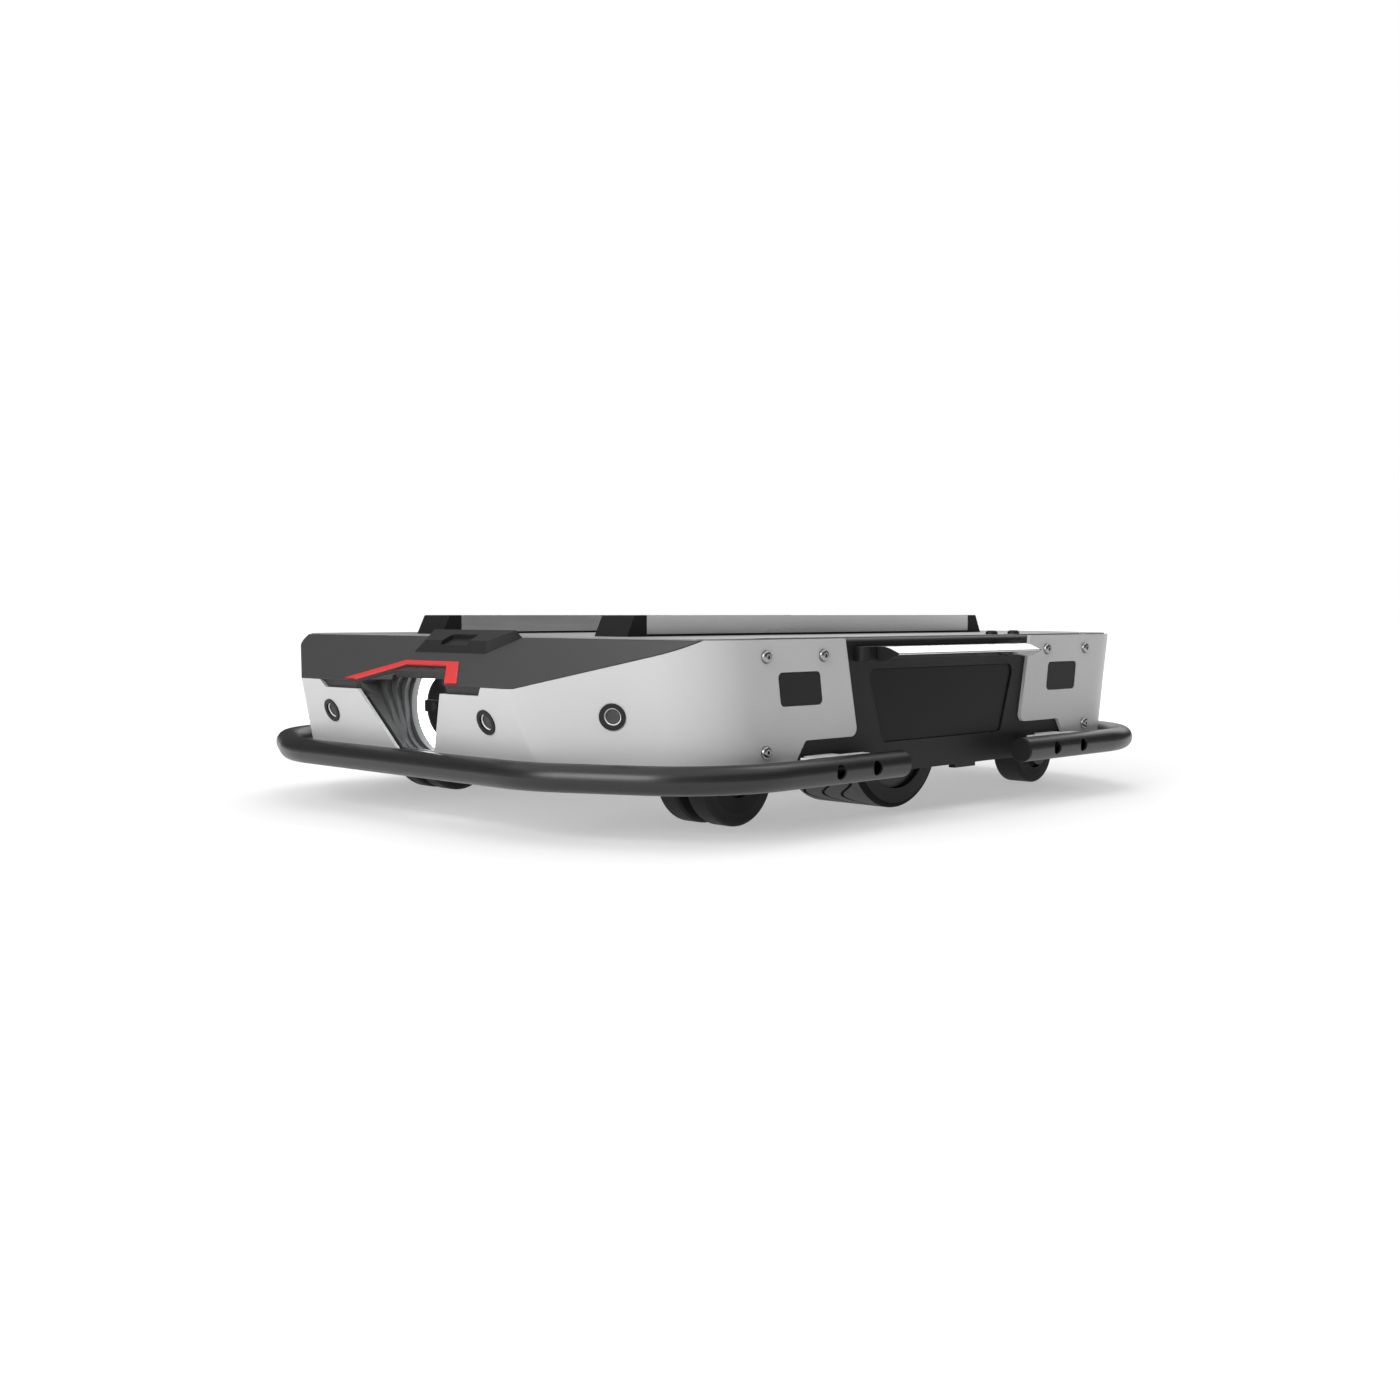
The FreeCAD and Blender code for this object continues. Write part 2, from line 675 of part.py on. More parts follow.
def visor(grown=0.0):
    """The small plate at the top of the lamp opening, with a tongue under the hood."""
    low = -VISOR_SUNK - VISOR_T - grown
    back = SLOPE_OPEN_LENGTH - SEAM + grown
    front = VISOR_FRONT - grown
    corners = trapezium(front, slope_half(front) - SEAM + grown, back, slope_half(back) - SEAM + grown)
    body = on_slope(corners, 0, (low, -VISOR_SUNK + grown))
    middle = (VISOR_FRONT + SLOPE_OPEN_LENGTH) / 2
    half = SLOPE_OPEN_HALF - SEAM + grown
    tongue = on_slope(trapezium(middle, half, VISOR_BACK + grown, half), 0, (low, -HOOD_T + grown))
    start = Vector(HOOD_X, 0, HOOD_FRONT_Z).add(SLOPE_UP * VISOR_HOLE_ALONG)
    holes = []
    for y in (-VISOR_HOLE_Y, VISOR_HOLE_Y):
        place = start.add(Vector(0, y, 0))
        holes.append(rod(VISOR_HOLE_D, place.add(SLOPE_OUT * -VISOR_T), place))
    return cut_all(joined([body, tongue]), holes)


def funnel_hole(share):
    """The funnel's hole: share 0 is the mouth at the front, 1 the round end at the light ring."""
    def between(a, b):
        return a + (b - a) * share
    top = between(HOOD_FRONT_Z, LAMP_Z + RING_R)
    low = between(MOUTH_LOW_Z + FUNNEL_RIM, LAMP_Z - RING_R)
    low_half = between(MOUTH_LOW_HALF, RING_R)
    top_half = between(MOUTH_TOP_HALF - FUNNEL_RIM, RING_R)
    return turned(trapezium(low, low_half, top, top_half)), between(FUNNEL_RIM, RING_R * ROUND_SHARE)


def lamp_funnel():
    """The ribbed dark funnel between the opening and the light ring."""
    back = LAMP_X + SEAM
    inside = hull(SHELL_T + LIP_T + SEAM, (SHELL_BOTTOM, RIM_Z)).cut(above_hood(HOOD_T + SEAM))
    block = inside.common(box((back, HOOD_X), (-FUNNEL_HALF, FUNNEL_HALF), (FUNNEL_LOW_Z, RIM_Z)))
    depth = (end_x(MOUTH_LOW_Z, FRONT_DRAFT) - back) / FUNNEL_STEPS
    tools = [slope_tool(), visor(SEAM)]
    for i in range(FUNNEL_STEPS):
        corners, radius = funnel_hole(1 - i / (FUNNEL_STEPS - 1))
        end = back + depth * (i + 1) if i < FUNNEL_STEPS - 1 else HOOD_X + PAST
        tools.append(plate_yz(corners, radius, (back + depth * i - (PAST if i == 0 else 0), end)))
    cleared = block
    for tool in tools:
        cleared = cleared.cut(tool)
    return max(cleared.Solids, key=lambda s: s.Volume)


def lamp_parts():
    """Light ring, dark disc with its bar, and the two lenses on the bar."""
    disc_face = LAMP_X - LAMP_FACE_STEP
    bar_face = disc_face + LAMP_BAR_T
    ring = rod_x(2 * RING_R, 0, LAMP_Z, (FRAME_X, LAMP_X))
    ring = ring.cut(rod_x(2 * DISC_R, 0, LAMP_Z, (FRAME_X - CLEAR, LAMP_X + CLEAR)))
    disc = rod_x(2 * (DISC_R - SEAM), 0, LAMP_Z, (FRAME_X, disc_face))
    bar_z = (LAMP_Z - LAMP_BAR_H / 2, LAMP_Z + LAMP_BAR_H / 2)
    bar = box((FRAME_X, bar_face), (-LAMP_BAR_HALF, LAMP_BAR_HALF), bar_z)
    lens = rod_x(LENS_D, LENS_Y, LAMP_Z, (bar_face, bar_face + LENS_PROUD))
    return ring, joined([disc, bar]), Part.makeCompound(both_sides(lens))


def hood_grip():
    """The bevelled block on the hood with a finger pocket."""
    low, high = GRIP_FOOT
    square = [0, 0, 0, 0]
    foot = trapezium(low, GRIP_FOOT_HALF[0], high, GRIP_FOOT_HALF[1])
    top = trapezium(GRIP_TOP_START, GRIP_TOP_HALF[0], high, GRIP_TOP_HALF[1])
    rings = [outline(foot, square, slope_place(0)), outline(top, square, slope_place(GRIP_T))]
    pocket = trapezium(GRIP_POCKET[0], GRIP_POCKET_HALF, GRIP_POCKET[1], GRIP_POCKET_HALF)
    pocket_tool = on_slope(pocket, GRIP_POCKET_R, (GRIP_POCKET_FLOOR, 2 * GRIP_T))
    return Part.makeLoft(rings, True, True).cut(pocket_tool)


def recess_corners(shrink):
    """Corners of the sunken trapezium in a skirt."""
    low_half, high_half = ahead(RECESS_INSETS[0]) - shrink, ahead(RECESS_INSETS[1]) - shrink
    corners = turned(trapezium(RECESS_LOW_Z + shrink, low_half, RIM_Z - RECESS_DROP - shrink, high_half))
    return [(x - RECESS_BACK, z) for x, z in corners]


def left_skirt():
    """Black panel between and behind the left white shells, with panes that fill the shells' windows."""
    low_half = ahead(SKIRT_LOW_INSET)
    half = [(low_half - (SKIRT_END_Z - SKIRT_LOW_Z) / 2, SKIRT_LOW_Z), (low_half, SKIRT_END_Z),
            (SKIRT_HALF, SKIRT_END_Z), (SKIRT_HALF, RIM_Z)]
    skirt = plate_xz(half + [(-x, z) for x, z in reversed(half)], 0, (SKIRT_IN_Y, SKIRT_Y))
    near_top, near_face = RIM_Z - CLEAR, SKIRT_Y - CLEAR
    skirt = soften(skirt, SKIRT_TOP_R,
                   lambda b: b.ZMin > near_top and b.YMin > near_face and b.XLength > SKIRT_HALF)
    tab = box(TAB_X, (SKIRT_IN_Y, SKIRT_Y), (SKIRT_LOW_Z - TAB_DROP, SKIRT_LOW_Z))
    skirt = joined([skirt, tab] + front_and_rear([window_plate(SEAM, (SKIRT_Y, SIDE_Y - PANE_SUNK))]))
    slot = box((BRACKET_X[0] - SEAM, BRACKET_X[1] + SEAM), (SKIRT_IN_Y - CLEAR, SKIRT_Y + CLEAR),
               (BRACKET_TOP_Z - BRACKET_T - SEAM, BRACKET_TOP_Z + SEAM))
    recess = plate_xz(recess_corners(0), RECESS_R, (SKIRT_Y - RECESS_DEPTH, SKIRT_Y + CLEAR))
    return cut_all(skirt, [recess] + front_and_rear([slot] + screw_holes()))


def side_inserts():
    """Bare plates at the bottom of the sunken trapeziums."""
    floor = SKIRT_Y - RECESS_DEPTH
    return Part.makeCompound(both_sides(plate_xz(recess_corners(SEAM), RECESS_R, (floor, floor + INSERT_T))))


def handle_profile():
    """Side view of a handle bar as Y and Z, with its radii: flat back, arched sides and a blunt point."""
    low, high = HANDLE_Z
    flat = HANDLE_BACK_Y + HANDLE_FLAT
    corners = [(HANDLE_BACK_Y, low), (flat, low), (HANDLE_BACK_Y + HANDLE_DEPTH, (low + high) / 2), (flat, high),
               (HANDLE_BACK_Y, high)]
    return corners, [0, HANDLE_SIDE_R, HANDLE_NOSE_R, HANDLE_SIDE_R, 0]


def handle_bars():
    """Bright grab bars, one on each side."""
    corners, radii = handle_profile()
    return Part.makeCompound(both_sides(plate_yz(corners, radii, HANDLE_X)))


def handle_posts():
    """Black blocks that hold the handle bars, with thin caps on the bars' ends."""
    corners, radii = handle_profile()
    inner, outer = ahead(POST_INSETS[0]), ahead(POST_INSETS[1])
    rear_end = HANDLE_X[0] - HANDLE_CAP_T
    front_end = HANDLE_X[1] + HANDLE_CAP_T
    front_cap = plate_yz(corners, radii, (HANDLE_X[1], front_end))
    rear_cap = plate_yz(corners, radii, (rear_end, HANDLE_X[0]))
    front_block = plate_xy([(inner, SKIRT_Y), (outer, SKIRT_Y), (outer, HANDLE_BACK_Y), (inner, HANDLE_BACK_Y)],
                           [0, 0, POST_R, 0], HANDLE_Z)
    rear_block = box((rear_end, -inner), (SKIRT_Y, HANDLE_BACK_Y), HANDLE_Z)
    posts = [joined([front_block, front_cap]), joined([rear_block, rear_cap])]
    return Part.makeCompound([p for post in posts for p in both_sides(post)])


def bumper_path():
    """Middle line of the front bumper tube, from its left end round to its right end."""
    side_x = TUBE_X - (TUBE_Y - TUBE_RUN_HALF) * math.tan(TUBE_ANGLE)
    left = [Vector(TUBE_END_X, TUBE_Y, TUBE_Z), Vector(side_x, TUBE_Y, TUBE_Z),
            Vector(TUBE_X, TUBE_RUN_HALF, TUBE_Z)]
    corners = left + [Vector(p.x, -p.y, p.z) for p in reversed(left)]
    edges = []
    last = corners[0]
    for before, corner, after in zip(corners, corners[1:], corners[2:]):
        back = before.sub(corner).normalize()
        onward = after.sub(corner).normalize()
        half_angle = back.getAngle(onward) / 2
        reach = TUBE_BEND_R / math.tan(half_angle)
        start, end = corner.add(back * reach), corner.add(onward * reach)
        middle = back.add(onward).normalize() * (TUBE_BEND_R / math.sin(half_angle) - TUBE_BEND_R)
        edges += [Part.makeLine(last, start), Part.Arc(start, corner.add(middle), end).toShape()]
        last = end
    return Part.Wire(edges + [Part.makeLine(last, corners[-1])])


def swept(diameter):
    """A round bar along the bumper's middle line."""
    ring = Part.Wire(Part.makeCircle(diameter / 2, Vector(TUBE_END_X, TUBE_Y, TUBE_Z), Vector(1, 0, 0)))
    return bumper_path().makePipeShell([ring], True, False)


def front_bumper():
    """Bent bumper tube with bolt holes near its ends."""
    tube = swept(TUBE_D).cut(swept(TUBE_D - 2 * TUBE_WALL))
    tools = []
    for x in BUMPER_BOLT_X:
        tools += both_sides(rod_y(BOLT_ACCESS_D, x, TUBE_Z, (TUBE_Y, WIDTH)))
        tools += both_sides(rod_y(SCREW_D + 2 * BOLT_ROOM, x, TUBE_Z, (SKIRT_Y, TUBE_Y)))
    return cut_all(tube, tools)


def bumper_plugs():
    """Caps pushed into the four tube ends."""
    inner = TUBE_D - 2 * TUBE_WALL
    stem = rod(inner, Vector(TUBE_END_X, TUBE_Y, TUBE_Z), Vector(TUBE_END_X + PLUG_LENGTH, TUBE_Y, TUBE_Z))
    cap = rod(TUBE_D, Vector(TUBE_END_X - PLUG_CAP, TUBE_Y, TUBE_Z), Vector(TUBE_END_X, TUBE_Y, TUBE_Z))
    cap = soften(cap, PLUG_R, lambda b: b.XMax < TUBE_END_X - PLUG_CAP / 2)
    return Part.makeCompound(all_four(joined([cap, stem])))


def bumper_brackets():
    """Folded brackets from the caster platforms, under the skirt, to the tubes."""
    leg_y = SKIRT_IN_Y - BRACKET_SETBACK
    tube_face = TUBE_Y - TUBE_R
    shelf_z = (BRACKET_TOP_Z - BRACKET_T, BRACKET_TOP_Z)
    shelf = box(BRACKET_X, (leg_y - BRACKET_T, tube_face), shelf_z)
    leg = box((ahead(BRACKET_LEG_INSET), BRACKET_X[1]), (leg_y - BRACKET_T, leg_y), (shelf_z[0], PLATFORM_Z))
    saddle_y = (tube_face - SADDLE_T / 2, tube_face + SADDLE_T / 2)
    saddle = box(SADDLE_X, saddle_y, (TUBE_Z - TUBE_R, BRACKET_TOP_Z))
    tools = [rod_x(TUBE_D + 2 * BOLT_ROOM, TUBE_Y, TUBE_Z, (0, LENGTH))]
    tools += [rod_y(SCREW_D + 2 * RUNNING, x, TUBE_Z, (SKIRT_Y, TUBE_Y)) for x in BUMPER_BOLT_X]
    return Part.makeCompound(all_four(cut_all(joined([shelf, leg, saddle]), tools)))


def bumper_bolts():
    """Bolts inside the tubes that hold them to the brackets."""
    seat = TUBE_Y - math.sqrt((TUBE_R - TUBE_WALL) ** 2 - (BOLT_HEAD_D / 2) ** 2)
    bolts = []
    for x in BUMPER_BOLT_X:
        head = rod_y(BOLT_HEAD_D, x, TUBE_Z, (seat, seat + SCREW_D))
        shank = rod_y(SCREW_D, x, TUBE_Z, (TUBE_Y - TUBE_R - SADDLE_T / 2, seat))
        bolts += all_four(joined([head, shank]))
    return Part.makeCompound(bolts)


def deck_plate():
    """Flat load deck inside the rim."""
    deck = hull(SHELL_T + SEAM, (SHELL_BOTTOM, DECK_TOP))
    deck = deck.common(box((-LENGTH, DECK_FRONT_X - SEAM), (-WIDTH, WIDTH), (DECK_LOW, DECK_TOP)))
    skirt_end = SKIRT_HALF + SEAM
    deck = cut_all(deck, both_sides(box((-skirt_end, skirt_end), (SKIRT_IN_Y - SEAM, WIDTH), (0, LENGTH))))
    holes = [rod_z(DECK_HOLE_D, PAYLOAD_PITCH[0] / 2, PAYLOAD_PITCH[1] / 2, (0, LENGTH)),
             rod_z(SCREW_D + 2 * BOLT_ROOM, RAIL_SCREW_X, RAIL_Y, (0, LENGTH))]
    return cut_all(deck, [h for hole in holes for h in all_four(hole)])


def left_rail():
    """Aluminium rail with a T-slot along its top."""
    top = DECK_TOP + RAIL_HEIGHT
    body = box((-RAIL_HALF, RAIL_HALF), (RAIL_Y - RAIL_W / 2, RAIL_Y + RAIL_W / 2), (DECK_TOP, top))
    room_top = top - SLOT_LIP
    long = (-RAIL_HALF - CLEAR, RAIL_HALF + CLEAR)
    tools = [box(long, (RAIL_Y - SLOT_W / 2, RAIL_Y + SLOT_W / 2), (room_top - CLEAR, top + CLEAR)),
             box(long, (RAIL_Y - SLOT_ROOM_W / 2, RAIL_Y + SLOT_ROOM_W / 2), (room_top - SLOT_ROOM_H, room_top))]
    for side in (-1, 1):
        edge = RAIL_Y + side * RAIL_W / 2
        groove = (DECK_TOP - CLEAR, DECK_TOP + RAIL_GROOVE)
        tools.append(box(long, (edge - RAIL_GROOVE, edge + RAIL_GROOVE), groove))
    for x in (-RAIL_SCREW_X, RAIL_SCREW_X):
        tools.append(rod_z(SCREW_D + 2 * BOLT_ROOM, x, RAIL_Y, (0, room_top)))
    return cut_all(body, tools)


def rail_end_caps():
    """Black wedges at the ends of the rails."""
    top = DECK_TOP + RAIL_HEIGHT
    corners = [(RAIL_HALF, DECK_TOP), (RAIL_HALF + RAIL_CAP[1], DECK_TOP), (RAIL_HALF + RAIL_CAP[0], top),
               (RAIL_HALF, top)]
    cap = plate_xz(corners, [0, 0, RAIL_CAP_R, 0], (RAIL_Y - RAIL_W / 2, RAIL_Y + RAIL_W / 2))
    return Part.makeCompound(all_four(cap))


def rail_screws():
    """Screws in the T-slots that hold the rails on the deck."""
    floor = DECK_TOP + RAIL_HEIGHT - SLOT_LIP - SLOT_ROOM_H
    head = rod_z(RAIL_SCREW_HEAD_D, RAIL_SCREW_X, RAIL_Y, (floor, floor + SCREW_HEAD_H))
    shank = rod_z(SCREW_D, RAIL_SCREW_X, RAIL_Y, (DECK_LOW - DECK_T, floor))
    return Part.makeCompound(all_four(joined([head, shank])))


def connector_caps():
    """Domed caps over the deck connectors."""
    caps = []
    for inset in CAP_INSETS:
        cap = rod_z(CAP_D, -ahead(inset), SKIRT_IN_Y - CAP_FROM_SKIRT, (DECK_TOP, DECK_TOP + CAP_H))
        caps.append(soften(cap, CAP_R, lambda b: b.ZMin > DECK_TOP + CAP_H / 2))
    return Part.makeCompound(caps)


def sensor_bezels():
    """Black rings of the distance sensors."""
    rings = []
    outer = sensor_rods(SENSOR_D, -SENSOR_DEPTH, SENSOR_PROUD)
    inner = sensor_rods(SENSOR_FACE_D, -SENSOR_DEPTH - CLEAR, SENSOR_PROUD + CLEAR)
    for body, hole in zip(outer, inner):
        rings.append(body.cut(hole))
    return Part.makeCompound(rings)


def sensor_faces():
    """Round faces inside the sensor rings."""
    return Part.makeCompound(sensor_rods(SENSOR_FACE_D, -SENSOR_DEPTH, SENSOR_PROUD - SENSOR_SUNK))


def rear_panel_room():
    """The opening for the control panel in the rear shell."""
    return box((-LENGTH, -PANEL_X + PANEL_T), (-PANEL_HALF, PANEL_HALF), PANEL_Z)


def rear_light_room():
    """The slot for the rear light."""
    return box((-LENGTH, -PANEL_X), (-LIGHT_HALF, LIGHT_HALF), LIGHT_Z)


def rear_panel():
    """Sunken black tray that holds the rear controls."""
    tray = hull(0, (SHELL_BOTTOM, RIM_Z)).common(rear_panel_room())
    half = PANEL_HALF - PANEL_WALL
    room = box((-LENGTH, -PANEL_X), (-half, half), (PANEL_Z[0] + PANEL_WALL, PANEL_Z[1] - PANEL_WALL))
    through = (-PANEL_X - CLEAR, -PANEL_X + PANEL_T + CLEAR)
    hole = rod_x(POWER_D + 2 * SEAM, POWER_Y, PANEL_PART_Z, through)
    return cut_all(tray, [room, hole])


def rear_light():
    """Red light strip above the control panel."""
    behind = hull(2 * SHELL_T, (SHELL_BOTTOM - CLEAR, RIM_Z + CLEAR))
    skin = hull(0, (SHELL_BOTTOM, RIM_Z)).cut(behind)
    return skin.common(rear_light_room())


def stop_collar():
    """Fixed collar of the stop button."""
    face = -PANEL_X - STOP_COLLAR_H
    collar = rod_x(STOP_COLLAR_D, STOP_Y, PANEL_PART_Z, (face, -PANEL_X))
    bore = rod_x(STOP_STEM_D + 2 * SEAM, STOP_Y, PANEL_PART_Z, (face - CLEAR, -PANEL_X + CLEAR))
    return collar.cut(bore)


def stop_button():
    """Red mushroom button with its stem in the collar."""
    under = -PANEL_X - STOP_COLLAR_H - STOP_TRAVEL - STOP_GAP
    cap = rod_x(STOP_CAP_D, STOP_Y, PANEL_PART_Z, (under - STOP_CAP_H, under))
    cap = soften(cap, STOP_CAP_R, lambda b: b.XMax < under - STOP_CAP_H / 2)
    stem = rod_x(STOP_STEM_D, STOP_Y, PANEL_PART_Z, (under, -PANEL_X - STOP_TRAVEL - STOP_GAP))
    return joined([cap, stem])


def power_button():
    """Round power button, held behind the panel by its flange."""
    inner = -PANEL_X + PANEL_T
    body = rod_x(POWER_D, POWER_Y, PANEL_PART_Z, (-PANEL_X - POWER_PROUD, inner + SEAM))
    flange = rod_x(POWER_FLANGE_D, POWER_Y, PANEL_PART_Z, (inner + SEAM, inner + SEAM + POWER_TRAVEL))
    return joined([body, flange])


def charge_cap():
    """Round cover on the charging socket."""
    cap = rod_x(SOCKET_D, SOCKET_Y, PANEL_PART_Z, (-PANEL_X - SOCKET_H, -PANEL_X))
    return soften(cap, SOCKET_R, lambda b: b.XMax < -PANEL_X - SOCKET_H / 2)


def display_window():
    """Battery display on the rear panel."""
    wide, high = DISPLAY_SIZE[0] / 2, DISPLAY_SIZE[1] / 2
    return box((-PANEL_X - DISPLAY_T, -PANEL_X), (DISPLAY_Y - wide, DISPLAY_Y + wide),
               (PANEL_PART_Z - high, PANEL_PART_Z + high))


def base_tray():
    """Floor plate of the chassis."""
    return box((-FRAME_X, FRAME_X), (-WEB_OUT_Y, WEB_OUT_Y), (TRAY_TOP - TRAY_T, TRAY_TOP))


def chassis_frame():
    """Welded frame: long webs, end plates, caster platforms, gussets and spring shelves."""
    pieces = []
    for side in (-1, 1):
        inner, outer = sorted((side * WEB_Y, side * WEB_OUT_Y))
        pieces.append(box((-FRAME_X, FRAME_X), (inner, outer), (TRAY_TOP, DECK_LOW)))
    for end in (-1, 1):
        near, far = sorted((end * FRAME_X, end * (FRAME_X - WEB_T)))
        pieces.append(box((near, far), (-WEB_Y, WEB_Y), (TRAY_TOP, DECK_LOW)))
    platform = box(PLATFORM_X, (WEB_OUT_Y, SKIRT_IN_Y), (PLATFORM_Z, PLATFORM_Z + PLATFORM_T))
    platform = platform.common(hull(SHELL_T + CLEAR, (SHELL_BOTTOM, RIM_Z)))
    platform = platform.cut(rod_z(KINGPIN_D + 2 * SEAM, CASTER_X, CASTER_Y, (0, DECK_LOW)))
    gusset_x = (PLATFORM_X[0], PLATFORM_X[0] + GUSSET_T)
    gusset = box(gusset_x, (WEB_OUT_Y, SKIRT_IN_Y - DECK_T), (PLATFORM_Z, DECK_LOW))
    pieces += all_four(platform) + all_four(gusset)
    pieces += both_sides(box((SPRING_X - SPRING_SEAT_HALF, SPRING_X + SPRING_SEAT_HALF), (WEB_OUT_Y, ARM_Y[1]),
                             (SPRING_TOP_Z, SPRING_TOP_Z + WEB_T)))
    frame = joined(pieces).cut(above_hood(HOOD_T + SEAM))
    return frame.cut(rod_y(PIN_D + 2 * RUNNING, PIVOT_X, PIVOT_Z, (-WIDTH, WIDTH)))


def battery():
    """Battery pack on the tray."""
    half = WEB_Y - BATTERY_ROOM
    block = box(BATTERY_X, (-half, half), (TRAY_TOP, TRAY_TOP + BATTERY_H))
    return soften(block, BATTERY_R, lambda b: b.ZLength > BATTERY_H / 2)


def control_box():
    """Motor controller and computer in one box."""
    half = WEB_Y - CONTROL_ROOM
    return box(CONTROL_X, (-half, half), (TRAY_TOP, TRAY_TOP + CONTROL_H))


def left_tyre():
    """Wide tyre of the left drive wheel."""
    tyre = rod_y(WHEEL_D, 0, AXLE_Z, WHEEL_Y)
    tyre = soften(tyre, TYRE_EDGE_R, lambda b: b.YLength < CLEAR)
    return tyre.cut(rod_y(WHEEL_D - 2 * TYRE_T, 0, AXLE_Z, (0, WIDTH)))


def left_hub():
    """Hub with its motor, open on the inside for the axle."""
    hub = rod_y(WHEEL_D - 2 * TYRE_T, 0, AXLE_Z, (WHEEL_Y[0], HUB_FACE_Y))
    return hub.cut(rod_y(AXLE_D + 2 * RUNNING, 0, AXLE_Z, (0, AXLE_ROOM_Y)))


def left_swing_arm():
    """Arm that carries the drive axle, with an eye at the front and a spring seat at the back."""
    eye = rod_y(2 * ARM_EYE_R, PIVOT_X, PIVOT_Z, ARM_Y)
    boss = rod_y(2 * ARM_AXLE_R, 0, AXLE_Z, ARM_Y)
    fore = plate_xz([(0, AXLE_Z - ARM_AXLE_R), (PIVOT_X, PIVOT_Z - ARM_EYE_R), (PIVOT_X, PIVOT_Z + ARM_EYE_R),
                     (0, AXLE_Z + ARM_AXLE_R)], 0, ARM_Y)
    back = SPRING_X - SPRING_SEAT_HALF
    aft = plate_xz([(back, SPRING_SEAT_Z - ARM_AXLE_R), (0, AXLE_Z - ARM_AXLE_R), (0, AXLE_Z + ARM_AXLE_R),
                    (SPRING_X + SPRING_SEAT_HALF, SPRING_SEAT_Z), (back, SPRING_SEAT_Z)], 0, ARM_Y)
    axle = rod_y(AXLE_D, 0, AXLE_Z, (ARM_Y[0], AXLE_ROOM_Y - CLEAR))
    collar = rod_y(AXLE_COLLAR_D, 0, AXLE_Z, (ARM_Y[1], WHEEL_Y[0] - SEAM))
    arm = joined([eye, boss, fore, aft, axle, collar])
    return arm.cut(rod_y(PIN_D + 2 * RUNNING, PIVOT_X, PIVOT_Z, (0, WIDTH)))


def pivot_pins():
    """Pins on which the swing arms turn."""
    head = rod_y(PIN_HEAD_D, PIVOT_X, PIVOT_Z, (WEB_Y - WEB_T, WEB_Y))
    shank = rod_y(PIN_D, PIVOT_X, PIVOT_Z, (WEB_Y, ARM_Y[1] + SEAM))
    collar = rod_y(PIN_HEAD_D, PIVOT_X, PIVOT_Z, (ARM_Y[1] + SEAM, ARM_Y[1] + SEAM + WEB_T))
    return Part.makeCompound(both_sides(joined([head, shank, collar])))


def left_spring():
    """Coil spring between the swing arm and its shelf."""
    wire_r = SPRING_WIRE_D / 2
    low = SPRING_SEAT_Z + wire_r
    height = SPRING_TOP_Z - SPRING_SEAT_Z - SPRING_WIRE_D
    helix = Part.makeHelix(height / SPRING_TURNS, height, SPRING_R)
    ring = Part.Wire(Part.makeCircle(wire_r, Vector(SPRING_R, 0, 0), Vector(0, 1, 0)))
    coil = Part.Wire(helix.Edges).makePipeShell([ring], True, True)
    coil.translate(Vector(SPRING_X, (ARM_Y[0] + ARM_Y[1]) / 2, low))
    return coil


def caster_plates():
    """Plates under the platforms that hold the caster king pins."""
    half = CASTER_PLATE / 2
    body = plate_xy([(CASTER_X - half, CASTER_Y - half), (CASTER_X + half, CASTER_Y - half),
                     (CASTER_X + half, CASTER_Y + half), (CASTER_X - half, CASTER_Y + half)],
                    CASTER_PLATE_R, (PLATFORM_Z - CASTER_PLATE_T, PLATFORM_Z))
    bore = rod_z(KINGPIN_D + 2 * RUNNING, CASTER_X, CASTER_Y, (0, PLATFORM_Z + CLEAR))
    return Part.makeCompound(all_four(body.cut(bore)))


def caster_head(x, trail, wide, radius):
    """King pin, round head and crown of a left fork whose swivel stands at x; also the crown's top."""
    head_top = PLATFORM_Z - CASTER_PLATE_T - SEAM
    crown_top = head_top - HEAD_H
    front, back = x + CROWN_FRONT, x - trail - CROWN_PAST_AXLE
    pin = rod_z(KINGPIN_D, x, CASTER_Y, (head_top, PLATFORM_Z + PLATFORM_T))
    head = rod_z(HEAD_D, x, CASTER_Y, (crown_top, head_top))
    crown = plate_xy([(back, CASTER_Y - wide), (front, CASTER_Y - wide), (front, CASTER_Y + wide),
                      (back, CASTER_Y + wide)], radius, (crown_top - CROWN_H, crown_top))
    return [pin, head, crown], crown_top


def fork_leg(x, trail, axle_z, top, y):
    """Flat leg from the crown down and back to the axle."""
    axle_x = x - trail
    leg = plate_xz([(axle_x - FORK_EYE_R, axle_z), (axle_x + FORK_EYE_R, axle_z), (x + CROWN_FRONT, top),
                    (axle_x - CROWN_PAST_AXLE, top)], 0, y)
    return [leg, rod_y(2 * FORK_EYE_R, axle_x, axle_z, y)]


def twin_fork():
    """Front left fork: one leg between two wheels, with the axle."""
    leg_half = (TWIN_PITCH - TWIN_W) / 2 - PLAY
    wide = (TWIN_PITCH + TWIN_W) / 2
    axle_x, axle_z = CASTER_X - TWIN_TRAIL, TWIN_D / 2
    pieces, top = caster_head(CASTER_X, TWIN_TRAIL, wide, CROWN_R)
    pieces += fork_leg(CASTER_X, TWIN_TRAIL, axle_z, top, (CASTER_Y - leg_half, CASTER_Y + leg_half))
    hub_face = wide - HUB_RECESS + PLAY
    pieces.append(rod_y(CASTER_AXLE_D, axle_x, axle_z, (CASTER_Y - hub_face, CASTER_Y + hub_face)))
    for side in (-1, 1):
        near, far = sorted((CASTER_Y + side * hub_face, CASTER_Y + side * (hub_face + AXLE_END_T)))
        pieces.append(rod_y(AXLE_END_D, axle_x, axle_z, (near, far)))
    return joined(pieces)


